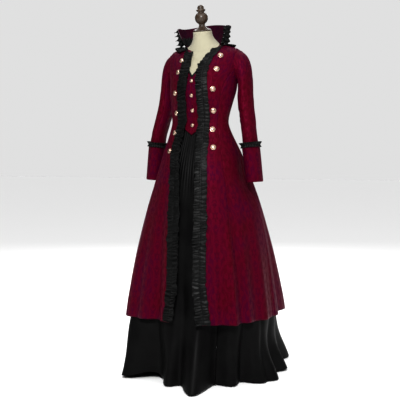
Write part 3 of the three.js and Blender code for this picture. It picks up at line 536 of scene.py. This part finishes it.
def taffeta(name, colour, lit, roughness, crinkle, shine):
    """Black plain weave: a fine crosswise rib, crisp crinkles and a drift in its shine."""
    finish = Finish(name, colour, roughness)
    where = finish.place()
    under = finish.relief(finish.threads(where, "Y", 260.0, 2.0, 2.0), 0.00008, 0.4)
    under = finish.relief(finish.noise(where, 34.0, 4.0, 0.6), crinkle, 0.5, under)
    finish.relief(finish.noise(finish.place(scale=(2.6, 0.8, 1)), 9.0, 3.0), crinkle * 2.5, 0.4, under)
    patch = finish.step(finish.noise(where, 7.0, 3.0), 0.3, 0.7)
    tint = finish.blend(patch, colour, lit)
    rough = finish.math("MULTIPLY_ADD", patch, 0.12, roughness - 0.06)
    return finish.set(Base_Color=tint, Roughness=rough, Specular_IOR_Level=shine)


def aged_brass():
    """Cast brass: bright where it is rubbed, brown in its hollows, with fine scratches."""
    finish = Finish("aged_brass", (0.62, 0.47, 0.33), 0.4, 0.85)
    where = finish.place("Object")
    stain = finish.step(finish.noise(where, 210.0, 4.0), 0.42, 0.72)
    colour = finish.blend(stain, (0.60, 0.46, 0.36), (0.30, 0.19, 0.12))
    finish.relief(finish.noise(finish.place("Object", (1, 1, 6)), 900.0, 2.0), 0.00005, 0.35)
    rough = finish.math("MULTIPLY_ADD", stain, 0.15, 0.27)
    return finish.set(Base_Color=colour, Roughness=rough)


def turned_wood():
    """Dark stained wood: long grain round the turning, brown rubbed high places and a coat of varnish."""
    finish = Finish("turned_wood", (0.10, 0.05, 0.025), 0.4)
    grain = finish.noise(finish.place("Object", (6, 6, 0.9)), 42.0, 5.0, 0.65)
    patch = finish.noise(finish.place("Object"), 60.0, 3.0)
    brown = finish.math("MULTIPLY", patch, 0.4)
    share = finish.math("MULTIPLY_ADD", finish.step(grain, 0.35, 0.65), 0.6, brown)
    colour = finish.blend(share, (0.008, 0.004, 0.002), (0.065, 0.038, 0.02))
    finish.relief(grain, 0.0003, 0.4)
    rough = finish.math("MULTIPLY_ADD", patch, 0.2, 0.36)
    return finish.set(Base_Color=colour, Roughness=rough, Coat_Weight=0.12, Coat_Roughness=0.2)


def form_jersey():
    """Cream knitted cover: fine ribs, slubs and faint age marks."""
    finish = Finish("form_jersey", (0.26, 0.245, 0.175), 0.9)
    where = finish.place("Object")
    under = finish.relief(finish.threads(where, "X", 330.0, 1.2, 2.0), 0.00012, 0.5)
    finish.relief(finish.noise(where, 140.0, 3.0), 0.0004, 0.35, under)
    marks = finish.step(finish.noise(where, 14.0, 4.0), 0.5, 0.8)
    colour = finish.blend(marks, (0.345, 0.325, 0.24), (0.29, 0.265, 0.185))
    return finish.set(Base_Color=colour, Sheen_Weight=0.12)


def satin_black():
    """Sprayed steel: almost even, with a faint orange peel and dust."""
    finish = Finish("satin_black", (0.02, 0.02, 0.022), 0.42)
    where = finish.place("Object")
    finish.relief(finish.noise(where, 260.0, 2.0), 0.0001, 0.3)
    dust = finish.step(finish.noise(where, 9.0, 4.0), 0.5, 0.85)
    return finish.set(Base_Color=finish.blend(dust, (0.018, 0.018, 0.02), (0.05, 0.048, 0.045)),
                      Roughness=finish.math("MULTIPLY_ADD", dust, 0.25, 0.38))


BROCADE = brocade("burgundy_brocade", (0.050, 0.0007, 0.0050), (0.074, 0.0010, 0.0100),
                  (0.044, 0.0005, 0.0150))
# A darker, more purple copy of the coat's burgundy brocade for the collar: its darkness is painted shade
SHADED_BROCADE = brocade("shaded_brocade", (0.014, 0.0012, 0.0050), (0.020, 0.0018, 0.0080),
                       (0.012, 0.0013, 0.0090))
SKIRT_TAFFETA = taffeta("black_taffeta", (0.0030, 0.0028, 0.0030), (0.0052, 0.0052, 0.0052), 0.52, 0.0008,
                        0.07)
RUFFLE_TRIM = taffeta("black_trim", (0.0026, 0.0026, 0.0026), (0.0054, 0.0057, 0.0056), 0.46, 0.0010, 0.12)
BRASS = aged_brass()
WOOD = turned_wood()
JERSEY = form_jersey()
STAND = satin_black()


def angle_at(across, level):
    """The angle of a point on the body's ring, from its distance to the centre."""
    return np.degrees(np.arcsin(across / read(BODY_RINGS, level)["width"]))


def front_edge(level, side):
    """The angle of a coat front's edge, from its distance to the centre."""
    return angle_at(read(FRONT_EDGES, level)["left" if side > 0 else "right"], level)


def front_seam(level):
    """The angle of the front princess seam, or of the side seam above the armhole."""
    return np.where(level > ARMHOLE_LEVEL, SIDE_SEAM, read(PRINCESS_SEAMS, level)["front"])


def back_seam(level):
    """The angle of the back princess seam, measured from behind, or of the side seam."""
    return np.where(level > ARMHOLE_LEVEL, SIDE_SEAM, 180 - read(PRINCESS_SEAMS, level)["back"])


def levels_between(top, bottom, step):
    """Even heights from top to bottom, as near to the step as fits."""
    return np.linspace(top, bottom, int(round((top - bottom) / step)) + 1)


def seam_roll(distance):
    """Cloth turns in over the last few millimetres before a seam, and puckers a little beside it."""
    return 1.1 * bump(distance, 2.2)


def cloth_panel(surface, levels, first, last, columns, rolled=(True, True)):
    """A panel between two seams: evenly spaced columns, closer at both ends, rolled in at its seams."""
    share = np.concatenate([[0, 0.006, 0.014, 0.028], np.linspace(0.05, 0.95, columns),
                            [0.972, 0.986, 0.994, 1]])
    level = levels[:, None] + 0 * share
    first, last = first[:, None], last[:, None]
    gap = SEAM_GAP / 2 / degree_length(surface, (first + last) / 2, levels[:, None])
    angle = (first + gap) + (last - first - 2 * gap) * share
    degree = degree_length(surface, angle, level)
    roll = rolled[0] * seam_roll((angle - angle[:, :1]) * degree)
    roll = roll + rolled[1] * seam_roll((angle[:, -1:] - angle) * degree)
    return surface(angle, level) - normals(surface, angle, level, LEVEL_STEP) * roll[..., None]


def inside_sleeve(points, shrink):
    """True for points inside the sleeve's tube made smaller by shrink, found by the ring plane of each."""
    stations = np.linspace(-0.2, 4.5, 48)
    ring = read(SLEEVE_RINGS, stations)
    tilt = np.radians(ring["tilt"])
    offset = points.reshape(-1, 1, 3) * 1.0
    offset[..., 0] = np.abs(offset[..., 0])
    offset = offset - np.stack([ring["x"], ring["y"], ring["z"]], -1)
    along = offset[..., 0] * np.cos(tilt) - offset[..., 2] * np.sin(tilt)
    out = offset[..., 0] * np.sin(tilt) + offset[..., 2] * np.cos(tilt)
    round_it = (out / (ring["out"] - shrink)) ** 2 + (offset[..., 1] / (ring["deep"] - shrink)) ** 2
    crossing = (along[:, :-1] >= 0) & (along[:, 1:] < 0) & (round_it[:, :-1] < 1)
    return crossing.any(axis=1).reshape(points.shape[:-1])


def make_coat():
    """Eight panels, each between two of the lines that run down the coat from its front edge to its back."""
    panels = (("front", COAT_TOP, (False, True), 0), ("side_front", 1280, (True, True), 0),
              ("side_back", 1280, (True, True), 360), ("back", COAT_TOP, (True, True), 360))
    for side, side_name in SIDES:
        for number, (name, top, rolled, turn) in enumerate(panels):
            levels = levels_between(top, COAT_HEM, 9)
            lines = (front_edge(levels, side), front_seam(levels), SIDE_SEAM + 0 * levels, back_seam(levels),
                     180 + 0 * levels)
            first, last = lines[number:number + 2]
            if side < 0:
                first, last, rolled = turn - last, turn - first, rolled[::-1]
            points = cloth_panel(coat, levels, first, last, 30, rolled)
            hidden = inside_sleeve(points, 7.0)
            piece = build(f"brocade_{name}_{side_name}", points, BROCADE, COAT_CLOTH, drop=hidden)
            cut_cloth(points, f"coat_{name}_{side_name}")


def coat_samples():
    """Points and normals of the coat's face round the left armhole."""
    angle, level = np.meshgrid(np.arange(40, 142, 1.4), np.arange(1120, 1400, 3.5))
    return coat(angle, level).reshape(-1, 3), coat_out(angle, level).reshape(-1, 3)


def coat_distance(points, some=400):
    """How far points lie outside the coat's face near the left armhole, and which way is out."""
    spots, out = coat_samples()
    flat = points.reshape(-1, 3)
    away, way = np.empty(len(flat)), np.empty_like(flat)
    for start in range(0, len(flat), some):
        part = slice(start, start + some)
        near = ((flat[part, None] - spots) ** 2).sum(-1).argmin(1)
        way[part] = out[near]
        away[part] = ((flat[part] - spots[near]) * out[near]).sum(-1)
    return away.reshape(points.shape[:-1]), way.reshape(points.shape)


def armhole_stations(angles):
    """For each angle round the sleeve, the station where it leaves the coat, or 0 where it is clear of it."""
    stations = np.linspace(0, 6, 121)
    angle, station = np.meshgrid(angles, stations)
    away = coat_distance(sleeve(angle, station))[0]
    inside = away < 0.6
    last = np.where(inside.any(axis=0), len(stations) - 1 - np.argmax(inside[::-1], axis=0), 0)
    first = stations[np.minimum(last + 1, len(stations) - 1)] * (last > 0)
    kernel = np.ones(5) / 5
    return np.convolve(np.pad(first, 2, mode="edge"), kernel, mode="valid")


def right_arm(points):
    """The right arm hangs nearer to the body than the left one's mirror image, and bends a little more."""
    share = 1 - smooth(points[..., 2], RIGHT_ARM["bottom"], RIGHT_ARM["top"])
    moved = points.copy()
    moved[..., 0] -= RIGHT_ARM["inward"] * share
    moved[..., 2] += RIGHT_ARM["up"] * share
    return moved


def both_arms(name, points, finish, cloth, closed, node):
    """The same piece on each arm."""
    for side in ("left", "right"):
        placed = points if side == "left" else right_arm(points)
        piece = build(f"{name}_{side}", placed, finish, cloth, closed=closed, mirror=side == "right")
        whole = np.concatenate([placed, placed[:, :1]], axis=1) if closed else placed
        cut_cloth(whole, f"{node}_{side}")


def make_sleeves():
    """Two-piece sleeves: each column runs from the armhole to the hem. Its head is blended into the coat."""
    for name, start, end, columns in (("upper", -SLEEVE_SEAM, SLEEVE_SEAM, 66),
                                      ("under", SLEEVE_SEAM, 360 - SLEEVE_SEAM, 46)):
        gap = 0.25
        share = np.concatenate([[0, 0.006, 0.014], np.linspace(0.028, 0.972, columns), [0.986, 0.994, 1]])
        angles = start + gap + (end - start - 2 * gap) * share
        first = np.maximum(armhole_stations(angles) - SLEEVE_HEAD["overlap"], 0)
        along = np.concatenate([[0, 0.004, 0.01, 0.018], np.linspace(0.028, 1, 104)])[:, None]
        station = first + (11 - first) * along
        angle = angles + 0 * station
        points = sleeve(angle, station)
        out = normals(sleeve, angle, station, STATION_STEP)
        head = 1.6 * bump(along - 0.03, 0.02) - 0.9 * bump(along, 0.006)
        degree = degree_length(sleeve, angle, station)
        roll = seam_roll((angle - angles[0]) * degree) + seam_roll((angles[-1] - angle) * degree)
        points = points + out * (head - 0.8 * roll)[..., None]
        rows = int(np.searchsorted(along[:, 0], SLEEVE_HEAD["rows"]))
        top = along[:rows]
        away, way = coat_distance(points[:rows])
        begun = smooth(top, 0, 0.05)
        over = 0.5 * (away + np.sqrt(away**2 + SLEEVE_HEAD["fillet"]**2)) * begun
        moved = over - SLEEVE_HEAD["sunk"] * (1 - begun) - away
        points[:rows] += way * (moved * (1 - smooth(top, 0.1, 0.23)))[..., None]
        both_arms(f"brocade_sleeve_{name}", points, BROCADE, COAT_CLOTH, False,
                  f"sleeve_{name}")


def make_cuffs():
    """Turned-up cuffs that stand off the sleeve more at the top, with rolled edges."""
    angle, station = np.meshgrid(np.arange(0, 360, 4.0), np.concatenate(
        [[9, 9.012, 9.03], np.linspace(9.06, 10.95, 34), [10.975, 10.99, 11]]))
    share = (station - 9) / 2
    stand = CUFF_STANDOFF[0] * (1 - share) + CUFF_STANDOFF[1] * share
    edge = np.minimum((station - 9) * 76, (11 - station) * 76)
    wear = 0.5 * uneven(np.cos(np.radians(angle)) * 2, station * 2, 13) * share * (1 - share)
    stand = stand - 0.9 * bump(edge, 1.6) + wear
    points = sleeve(angle, station) + normals(sleeve, angle, station, STATION_STEP) * stand[..., None]
    both_arms("brocade_cuff", points, BROCADE, CUFF_CLOTH, True, "cuff")


def make_collar():
    """A stand collar that flares from the neck seam, open at the front."""
    angle = np.linspace(COLLAR_CORNER, 360 - COLLAR_CORNER, 130)
    rise = np.concatenate([np.linspace(1, 0.97, 4), np.linspace(0.94, 0, 26)])
    angle, rise = np.meshgrid(angle, rise)
    out = normals(collar, angle, rise, RISE_STEP)
    buckle = 1.2 * uneven(np.radians(angle) * 3, rise * 2, 17) * np.sqrt(rise) - 0.8 * bump(1 - rise, 0.02)
    points = collar(angle, rise) + out * buckle[..., None]
    # The collar takes the darker copy of the brocade, whose darkness is painted shade
    piece = build("brocade_collar", points, SHADED_BROCADE, COAT_CLOTH)
    cut_cloth(points, "collar")


def pleats(along, pitch, seed):
    """Uneven gathers along a strip, from 0 in a hollow to 1 on a crest, with sharp hollows."""
    drift = 1.9 * uneven(along / (pitch * 2.6), along * 0, seed)
    drift = drift + 0.7 * uneven(along / pitch, along * 0, seed + 1, 5)
    phase = math.tau * along / pitch + drift
    return np.abs(np.sin(phase / 2)) ** 0.8, phase


def frill(point, out, away, swing, axis):
    """A strip's points moved out by away, and by swing along the strip, which runs down the given axis."""
    along = unit(np.gradient(point, axis=axis))
    return point + out * away[..., None] + along * swing[..., None]


def make_front_ruffles():
    """A band down each front edge, gathered on a stitch line in its middle, with both edges free."""
    across = np.array([-1, -0.93, -0.78, -0.6, -0.42, -0.25, -0.1, 0, 0.1, 0.25, 0.42, 0.6, 0.78, 0.93, 1])
    for side, name in SIDES:
        along = np.linspace(0, 1, 900)[:, None]
        level = BAND["top"] + (BAND["bottom"] - BAND["top"]) * along + 0 * across
        half = BAND["half_top"] + (BAND["half_bottom"] - BAND["half_top"]) * along
        edge = side * front_edge(level, side)
        degree = degree_length(coat, edge, level)
        length = BAND["length"] * along
        ragged = 1 + 0.075 * np.abs(across) * uneven(length / 9, np.sign(across) * 3, 71 + side)
        reach = across * half * ragged
        angle = edge + (side * BAND["inboard"] + reach) / degree
        point, out = coat(angle, level), coat_out(angle, level)
        length = length + 0 * across
        seed = 40 if side > 0 else 60
        neck = 2.0 * smooth(level, 1300, 1360)
        far = np.sign(across) * np.abs(across) ** 1.2
        lean = 7.5 * far * uneven(length / 23, np.sign(across) * 2.5, seed + 9)
        wide, phase = pleats(length + lean, 17.5, seed)
        narrow = pleats(length + 0.5 * lean + 3 * far, 11.3, seed + 12)[0]
        share = smooth(uneven(length / 30, np.sign(across) * 1.4, seed + 15), -0.6, 0.6)
        crest = wide * (1 - share) + narrow * share
        free = np.abs(across) ** 0.75
        size = np.clip(0.85 + 0.6 * uneven(length / 13, np.sign(across) * 2.0, seed + 2), 0.2, 1.45)
        size = size * np.where(across * side > 0, 0.55, 1.0)
        rise = BAND["lift"] + neck + 1.0 * crest + free * size * (0.2 + 7.4 * crest)
        rise = rise + 1.5 * free**1.5 * uneven(length / 5, across * 3, seed + 3) - 0.9 * bump(across, 0.05)
        points = frill(point, out, np.maximum(rise, 0.8), 2.6 * free * np.sin(phase), 0)
        points[..., 2] = np.maximum(points[..., 2], COAT_HEM - 1)
        piece = build(f"front_frill_{name}", points, RUFFLE_TRIM, RUFFLE_CLOTH)
        cut_cloth(points, f"front_ruffle_{name}")


def make_neck_ruffle():
    """The frill round the neck seam: one edge stands against the collar, the other lies on the shoulders."""
    angle = np.linspace(78, 322, 900)
    share = np.concatenate([np.linspace(-1, -0.12, 7), np.linspace(0, 1, 9)])[:, None]
    angle = angle + 0 * share
    lower, upper = np.maximum(share, 0) + 0 * angle, np.maximum(-share, 0) + 0 * angle
    level, rise = 1396 - 30 * lower, 0.3 * upper
    out = coat_out(angle, level)
    point = np.where(share[..., None] < 0, collar(angle, rise), coat(angle, level))
    length = (angle - 80) * 1.75
    wide, phase = pleats(length, 12.5, 80)
    crest = 0.6 * wide + 0.4 * pleats(length, 8.1, 86)[0]
    away = 1.2 + 0.6 * crest + lower**0.8 * (3 + 8 * crest) + upper * (7 + 10 * crest)
    away = away + 1.2 * np.abs(share) * uneven(length / 7, share * 3, 83)
    points = frill(point, out, away, 2.0 * np.abs(share) * np.sin(phase), 1)
    points[..., 2] += 3.0 * upper * uneven(length / 6, share * 2, 84)
    piece = build("neck_frill", points, RUFFLE_TRIM, RUFFLE_CLOTH)
    cut_cloth(points, "neck_ruffle")


def make_collar_ruffles():
    """A frill round each front edge of the collar: flat on the outside, then past the edge in large curls."""
    along = np.linspace(0, 1, 320)[:, None]
    share = np.concatenate([np.linspace(1, 0, 11), np.linspace(-0.15, -1.5, 11)])
    rise = 1 + (0.12 - 1) * along + 0 * share
    degree = degree_length(collar, COLLAR_CORNER + 0 * rise, rise)
    length = 92 * along + 0 * share
    phase = math.tau * length / 21 + 0.6 * uneven(length / 30, share * 0, 90)
    crest = (0.5 - 0.5 * np.cos(phase)) ** 0.7
    free, lap = np.maximum(share, 0), np.maximum(-share, 0)
    angle = COLLAR_CORNER - (0.6 + share * 15) / degree
    point, out = collar(angle, rise), normals(collar, angle, rise, RISE_STEP)
    beyond = free**0.7 * (22 * (1 - rise) + 15 * crest)
    behind = lap / 1.5 * (3 + 8 * crest + 20 * (1 - rise))
    away = 1.3 * smooth(0.15 - share, 0, 0.15) - 0.6 + beyond + behind
    away = away + 0.7 * np.abs(share) * uneven(length / 6, share * 3, 93)
    points = frill(point, out, away, 3.4 * free * np.sin(phase), 0)
    for side in ("left", "right"):
        piece = build(f"collar_frill_{side}", points, RUFFLE_TRIM, RUFFLE_CLOTH, mirror=side == "right")
        cut_cloth(points, f"collar_ruffle_{side}")


def make_cuff_ruffles():
    """The frill round each cuff's top: a stitch line on the cuff and free edges above and below."""
    angle = np.arange(0, 360, 0.75)
    share = np.array([0, 0.12, 0.28, 0.45, 0.58, 0.66, 0.78, 0.9, 1])[:, None]
    angle = angle + 0 * share
    station = 8.84 + 0.32 * share + 0 * angle
    upper = np.clip((0.58 - share) / 0.58, 0, 1)
    lower = np.clip((share - 0.58) / 0.42, 0, 1)
    turn, gathers = np.radians(angle), 26
    crest = np.abs(np.sin(turn * gathers / 2 + 0.5 * np.sin(turn * 5))) ** 0.8
    stand = 6.6 + 0.6 * crest + upper * (1.5 + 7.5 * crest) + lower * (0.5 + 4.0 * crest)
    stand = stand + 0.6 * upper * np.sin(turn * 7 + 1)
    points = sleeve(angle, station) + normals(sleeve, angle, station, STATION_STEP) * stand[..., None]
    both_arms("cuff_frill", points, RUFFLE_TRIM, RUFFLE_CLOTH, True,
              "cuff_ruffle")


def vest_grid(side, across, down):
    """The mock vest's face: columns spread from the centre, rows from the V neck to the pointed hem."""
    top = VEST["neck_dip"] + (VEST["neck_top"] - VEST["neck_dip"]) * across
    bottom = VEST["point"] + (VEST["hem_side"] - VEST["point"]) * across
    level = top + (bottom - top) * down
    wide = smooth(VEST["neck_dip"] + 10 - level, 0, VEST["neck_dip"] + 10 - VEST["bust"])
    half = VEST["chest_half"] + (VEST["half"] - VEST["chest_half"]) * wide
    aside = SEAM_GAP / 2 + (half - SEAM_GAP / 2) * across
    return side * angle_at(aside, level), level


def make_vest():
    """The mock vest's fronts under the coat's edges, with a narrow dark binding round the V neck."""
    across = np.concatenate([[0, 0.02, 0.05], np.linspace(0.09, 1, 26)])
    down = np.concatenate([[0, 0.006, 0.015], np.linspace(0.03, 0.97, 60), [0.985, 0.994, 1]])[:, None]
    for side, name in SIDES:
        columns = across if side > 0 else across[::-1]
        angle, level = vest_grid(side, columns + 0 * down, down + 0 * columns)
        pucker = 0.25 * uneven(angle / 4, level / 16, 19)
        roll = 0.7 * bump(angle * degree_length(coat, angle, level), 1.8)
        depth = VEST_INSET + 0.1 + roll - np.minimum(pucker, 0)
        points = coat(angle, level) - coat_out(angle, level) * depth[..., None]
        piece = build(f"vest_front_{name}", points, BROCADE, VEST_CLOTH)
        cut_cloth(points, f"vest_{name}")
        path = np.linspace(0.0, 1, 40)
        angle, level = vest_grid(side, path, 0 * path)
        out = coat_out(angle, level)
        centre = coat(angle, level) + out * (-VEST_INSET + 0.9)
        aside = np.cross(unit(np.gradient(centre, axis=0)), out)
        turn = np.linspace(0, math.tau, 13)[:-1, None, None]
        ring = centre + aside * 3.7 * np.cos(turn) + out * 0.8 * np.sin(turn)
        ring = np.swapaxes(ring, 0, 1)
        ring = ring if side > 0 else ring[:, ::-1]
        binding = build(f"vest_binding_{name}", ring, RUFFLE_TRIM, closed=True, caps=True)
        arc(ring, 0)


def lathe(name, profile, finish, sides, node, centre=(0, 0, 0), axis=(0, 0, 1)):
    """A profile of radius and height turned round an axis and closed at both ends, in place of a node."""
    axis = unit(np.array(axis, float))
    start = unit(np.cross(axis, (0, 1, 0) if abs(axis[1]) < 0.9 else (1, 0, 0)))
    turn = np.linspace(0, math.tau, sides, endpoint=False)
    spoke = start * np.cos(turn)[:, None] + np.cross(axis, start) * np.sin(turn)[:, None]
    rows = np.array(profile, float)[::-1]
    points = rows[:, :1, None] * spoke + axis * rows[:, 1:, None] + np.array(centre, float)
    piece = build(name, points, finish, closed=True, caps=True)
    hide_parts(node)


def curve(*corners, round_by=1.0, steps=5):
    """A profile through corners, each cut back by round_by and rounded with a quadratic curve."""
    points = [np.array(corners[0], float)]
    share = np.linspace(0, 1, steps)[:, None]
    for before, corner, after in zip(corners, corners[1:], corners[2:]):
        before, corner, after = (np.array(p, float) for p in (before, corner, after))
        back = corner + (before - corner) * min(0.5, round_by / np.linalg.norm(before - corner))
        on = corner + (after - corner) * min(0.5, round_by / np.linalg.norm(after - corner))
        bend = back * (1 - share) ** 2 + 2 * corner * share * (1 - share) + on * share**2
        points.extend(bend)
    points.append(np.array(corners[-1], float))
    return np.array(points)


def button(name, node, level, across, sunk, radius, dome):
    """A domed button square to the coat's face: a rolled rim, a small step and a high dome."""
    level = np.array(float(level))
    angle = angle_at(across, level)
    out = coat_out(angle, level)
    turn = np.linspace(0, math.pi / 2, 12)
    crown = np.stack([radius * 0.84 * np.cos(turn), 2.0 + (dome - 2.0) * np.sin(turn)], -1)
    crown[-1, 0] = AXIS_HOLE
    rim = [(AXIS_HOLE, 0), (radius * 0.9, 0.05), (radius * 0.985, 0.5), (radius, 1.1), (radius * 0.985, 1.7),
           (radius * 0.93, 2.0), (radius * 0.87, 1.75)]
    centre = coat(angle, level) + out * (0.4 - sunk)
    lathe(name, np.concatenate([rim, crown]), BRASS, 36, node, centre, out)


def make_buttons():
    """Six large buttons down each front and four small ones down the vest."""
    for (side, name), places in zip(SIDES, (LEFT_BUTTONS, RIGHT_BUTTONS)):
        for number, (level, across) in enumerate(places, 1):
            end = f"{name}_{number}"
            button(f"brass_dome_{end}", f"coat_button_{end}", level, side * across, 0, **LARGE_BUTTON)
    for number, level in enumerate(VEST_BUTTON_LEVELS, 1):
        button(f"vest_dome_{number}", f"vest_button_{number}", level, 0, VEST_INSET, **SMALL_BUTTON)


def make_skirt():
    """Four gathered panels of the full-length skirt, from the waist to the floor."""
    levels = np.concatenate([levels_between(WAIST, 900, 5), levels_between(890, 30, 10), [20, 12, 7, 4]])
    for name, start, end in zip(("front", "left", "back", "right"), SKIRT_SEAMS, SKIRT_SEAMS[1:]):
        points = cloth_panel(skirt, levels, start + 0 * levels, end + 0 * levels, 128)
        piece = build(f"taffeta_{name}", points, SKIRT_TAFFETA, SKIRT_CLOTH)
        cut_cloth(points, f"skirt_{name}")


def make_form():
    """The dress form: a padded torso and neck in cream jersey with sewn seams, a turned cap and a stand."""
    angle = np.arange(0, 360, 3.0)
    seams = sum(bump(between(angle, place), 0.9) for place in (0, 180, 52, -52, 142, -142))
    level = np.concatenate([levels_between(COAT_TOP, 910, 10), [FORM_BOTTOM]])[:, None]
    inset = read(FORM_INSETS, level)["inset"] + 0.7 * seams
    rings = read(BODY_RINGS, level)
    torso = ring_point(rings, angle, -inset - arm_dent(angle, level))
    torso[-1, :, 2] = FORM_BOTTOM
    height = np.linspace(1441, 1393, 14)[:, None]
    neck = read(NECK_RINGS, height)
    flat = {**neck, "side": 0 * height, "front": 0 * height, "back": 0 * height}
    collar_points = ring_point(flat, angle, -0.5 * seams)
    lean = np.tan(np.radians(neck["lean"]))
    collar_points[..., 2] = height + (collar_points[..., 1] - neck["centre"]) * lean
    points = np.concatenate([collar_points, torso])
    body = build("form_torso", points, JERSEY, closed=True, caps=True)
    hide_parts("form_body")

    top = {name: values[-1] for name, values in NECK_RINGS.items()}
    lean = math.radians(top["lean"])
    seat = (0, top["centre"], top["height"] + SEAM_GAP)
    turn = np.linspace(-1.06, 1.12, 18)
    ball = np.stack([27.5 * np.cos(turn), 55 + 26.5 * np.sin(turn)], -1)
    bead = np.linspace(-0.9, 1.1, 9)
    tip = np.linspace(-0.35, math.pi / 2, 8)
    profile = np.concatenate([
        curve((AXIS_HOLE, 0), (38, 0), (38, 4), (33, 7), (22, 13), (14.5, 20), (12, 26), round_by=1.6), ball,
        np.stack([14.5 + 5.0 * np.cos(bead), 87.5 + 4.6 * np.sin(bead)], -1),
        np.stack([14.0 * np.cos(tip), 97 + 12.5 * np.sin(tip)], -1),
    ])
    profile[-1, 0] = AXIS_HOLE
    lathe("turned_cap", profile, WOOD, 48, "form_cap", seat, (0, -math.sin(lean), math.cos(lean)))
    rod = [(AXIS_HOLE, POLE["bottom"]), (POLE["radius"], POLE["bottom"]), (POLE["radius"], POLE["top"]),
           (AXIS_HOLE, POLE["top"])]
    lathe("round_pole", rod, STAND, 32, "stand_pole")
    plate = curve((AXIS_HOLE, 0), (BASE["radius"], 0), (BASE["radius"], BASE["edge"]),
                  (BASE["boss"], BASE["thick"]), (AXIS_HOLE, BASE["thick"]), round_by=2.0)
    lathe("round_base", plate, STAND, 96, "stand_base")


make_form()
make_coat()
make_sleeves()
make_cuffs()
make_collar()
make_front_ruffles()
make_neck_ruffle()
make_collar_ruffles()
make_cuff_ruffles()
make_vest()
make_buttons()
make_skirt()


def plain_floor():
    """A wide pale floor that meets a pale world."""
    finish = Finish("pale_floor", (0.86, 0.86, 0.86), 0.85)
    finish.relief(finish.noise(finish.place("Object"), 30.0, 3.0), 0.0005, 0.2)
    mesh = bpy.data.meshes.new("floor")
    reach = 30.0
    corners = [(-reach, -reach, 0), (reach, -reach, 0), (reach, reach, 0), (-reach, reach, 0)]
    mesh.from_pydata(corners, [], [(0, 1, 2, 3)])
    mesh.materials.append(finish.material)
    add_object("floor", mesh)


MIDDLE = (0, 0, 0.85)


def soft_light(name, azimuth, distance, height, size, power):
    """A square soft light at an angle round the gown, aimed at its middle."""
    lamp = bpy.data.lights.new(name, "AREA")
    lamp.shape = "SQUARE"
    lamp.size = size
    lamp.energy = power
    holder = add_object(name, lamp)
    turn = math.radians(azimuth)
    spot = np.array([distance * math.sin(turn), -distance * math.cos(turn), height])
    holder.location = spot
    aim = Vector(tuple(np.array(MIDDLE) - spot))
    holder.rotation_euler = aim.to_track_quat("-Z", "Y").to_euler()


def studio():
    """A white room with a lit ceiling that the camera sees as evenly pale, and three soft lights."""
    world = bpy.data.worlds.new("studio")
    world.use_nodes = True
    tree = world.node_tree
    room = tree.nodes["Background"]
    seen, way, height, ceiling, choice, rays = (tree.nodes.new(f"ShaderNode{kind}") for kind in (
        "Background", "TexCoord", "SeparateXYZ", "MapRange", "MixShader", "LightPath"))
    room.inputs["Color"].default_value = (1, 1, 1, 1)
    seen.inputs["Color"].default_value = (0.79, 0.79, 0.79, 1)
    for name, value in (("From Min", 0.62), ("From Max", 0.74), ("To Min", 0.06), ("To Max", 1.75)):
        ceiling.inputs[name].default_value = value
    for source, socket in (
            (way.outputs["Generated"], height.inputs[0]), (height.outputs["Z"], ceiling.inputs["Value"]),
            (ceiling.outputs[0], room.inputs["Strength"]), (rays.outputs["Is Camera Ray"], choice.inputs[0]),
            (room.outputs[0], choice.inputs[1]), (seen.outputs[0], choice.inputs[2]),
            (choice.outputs[0], tree.nodes["World Output"].inputs["Surface"])):
        tree.links.new(source, socket)
    scene = bpy.context.scene
    scene.world = world
    soft_light("key", 20, 3.3, 2.8, 0.6, 178)
    soft_light("side", 80, 3.6, 2.2, 1.2, 14)
    soft_light("back", 205, 3.4, 2.8, 1.6, 90)
    scene.view_settings.view_transform = "Standard"
    scene.view_settings.gamma = 0.8


def photo_camera():
    """The camera of the photograph: 3.2 m away and 0.9 m up, 24 degrees to the wearer's left of the front."""
    azimuth, distance, height, focal = math.radians(24), 3.2, 0.9, 752
    frame_size, axis_column, horizon, shifted = 400, 203.0, 159.5, 20.0
    data = bpy.data.cameras.new("photo_camera")
    data.sensor_width = 36
    data.lens = focal / frame_size * data.sensor_width
    data.shift_x = -(axis_column - frame_size / 2) / frame_size
    data.shift_y = -shifted / frame_size
    camera = add_object("photo_camera", data)
    camera.location = (distance * math.sin(azimuth), -distance * math.cos(azimuth), height)
    pitch = math.atan((frame_size / 2 - horizon - shifted) / focal)
    camera.rotation_euler = (math.pi / 2 - pitch, 0, azimuth)
    bpy.context.scene.camera = camera


plain_floor()
studio()
photo_camera()
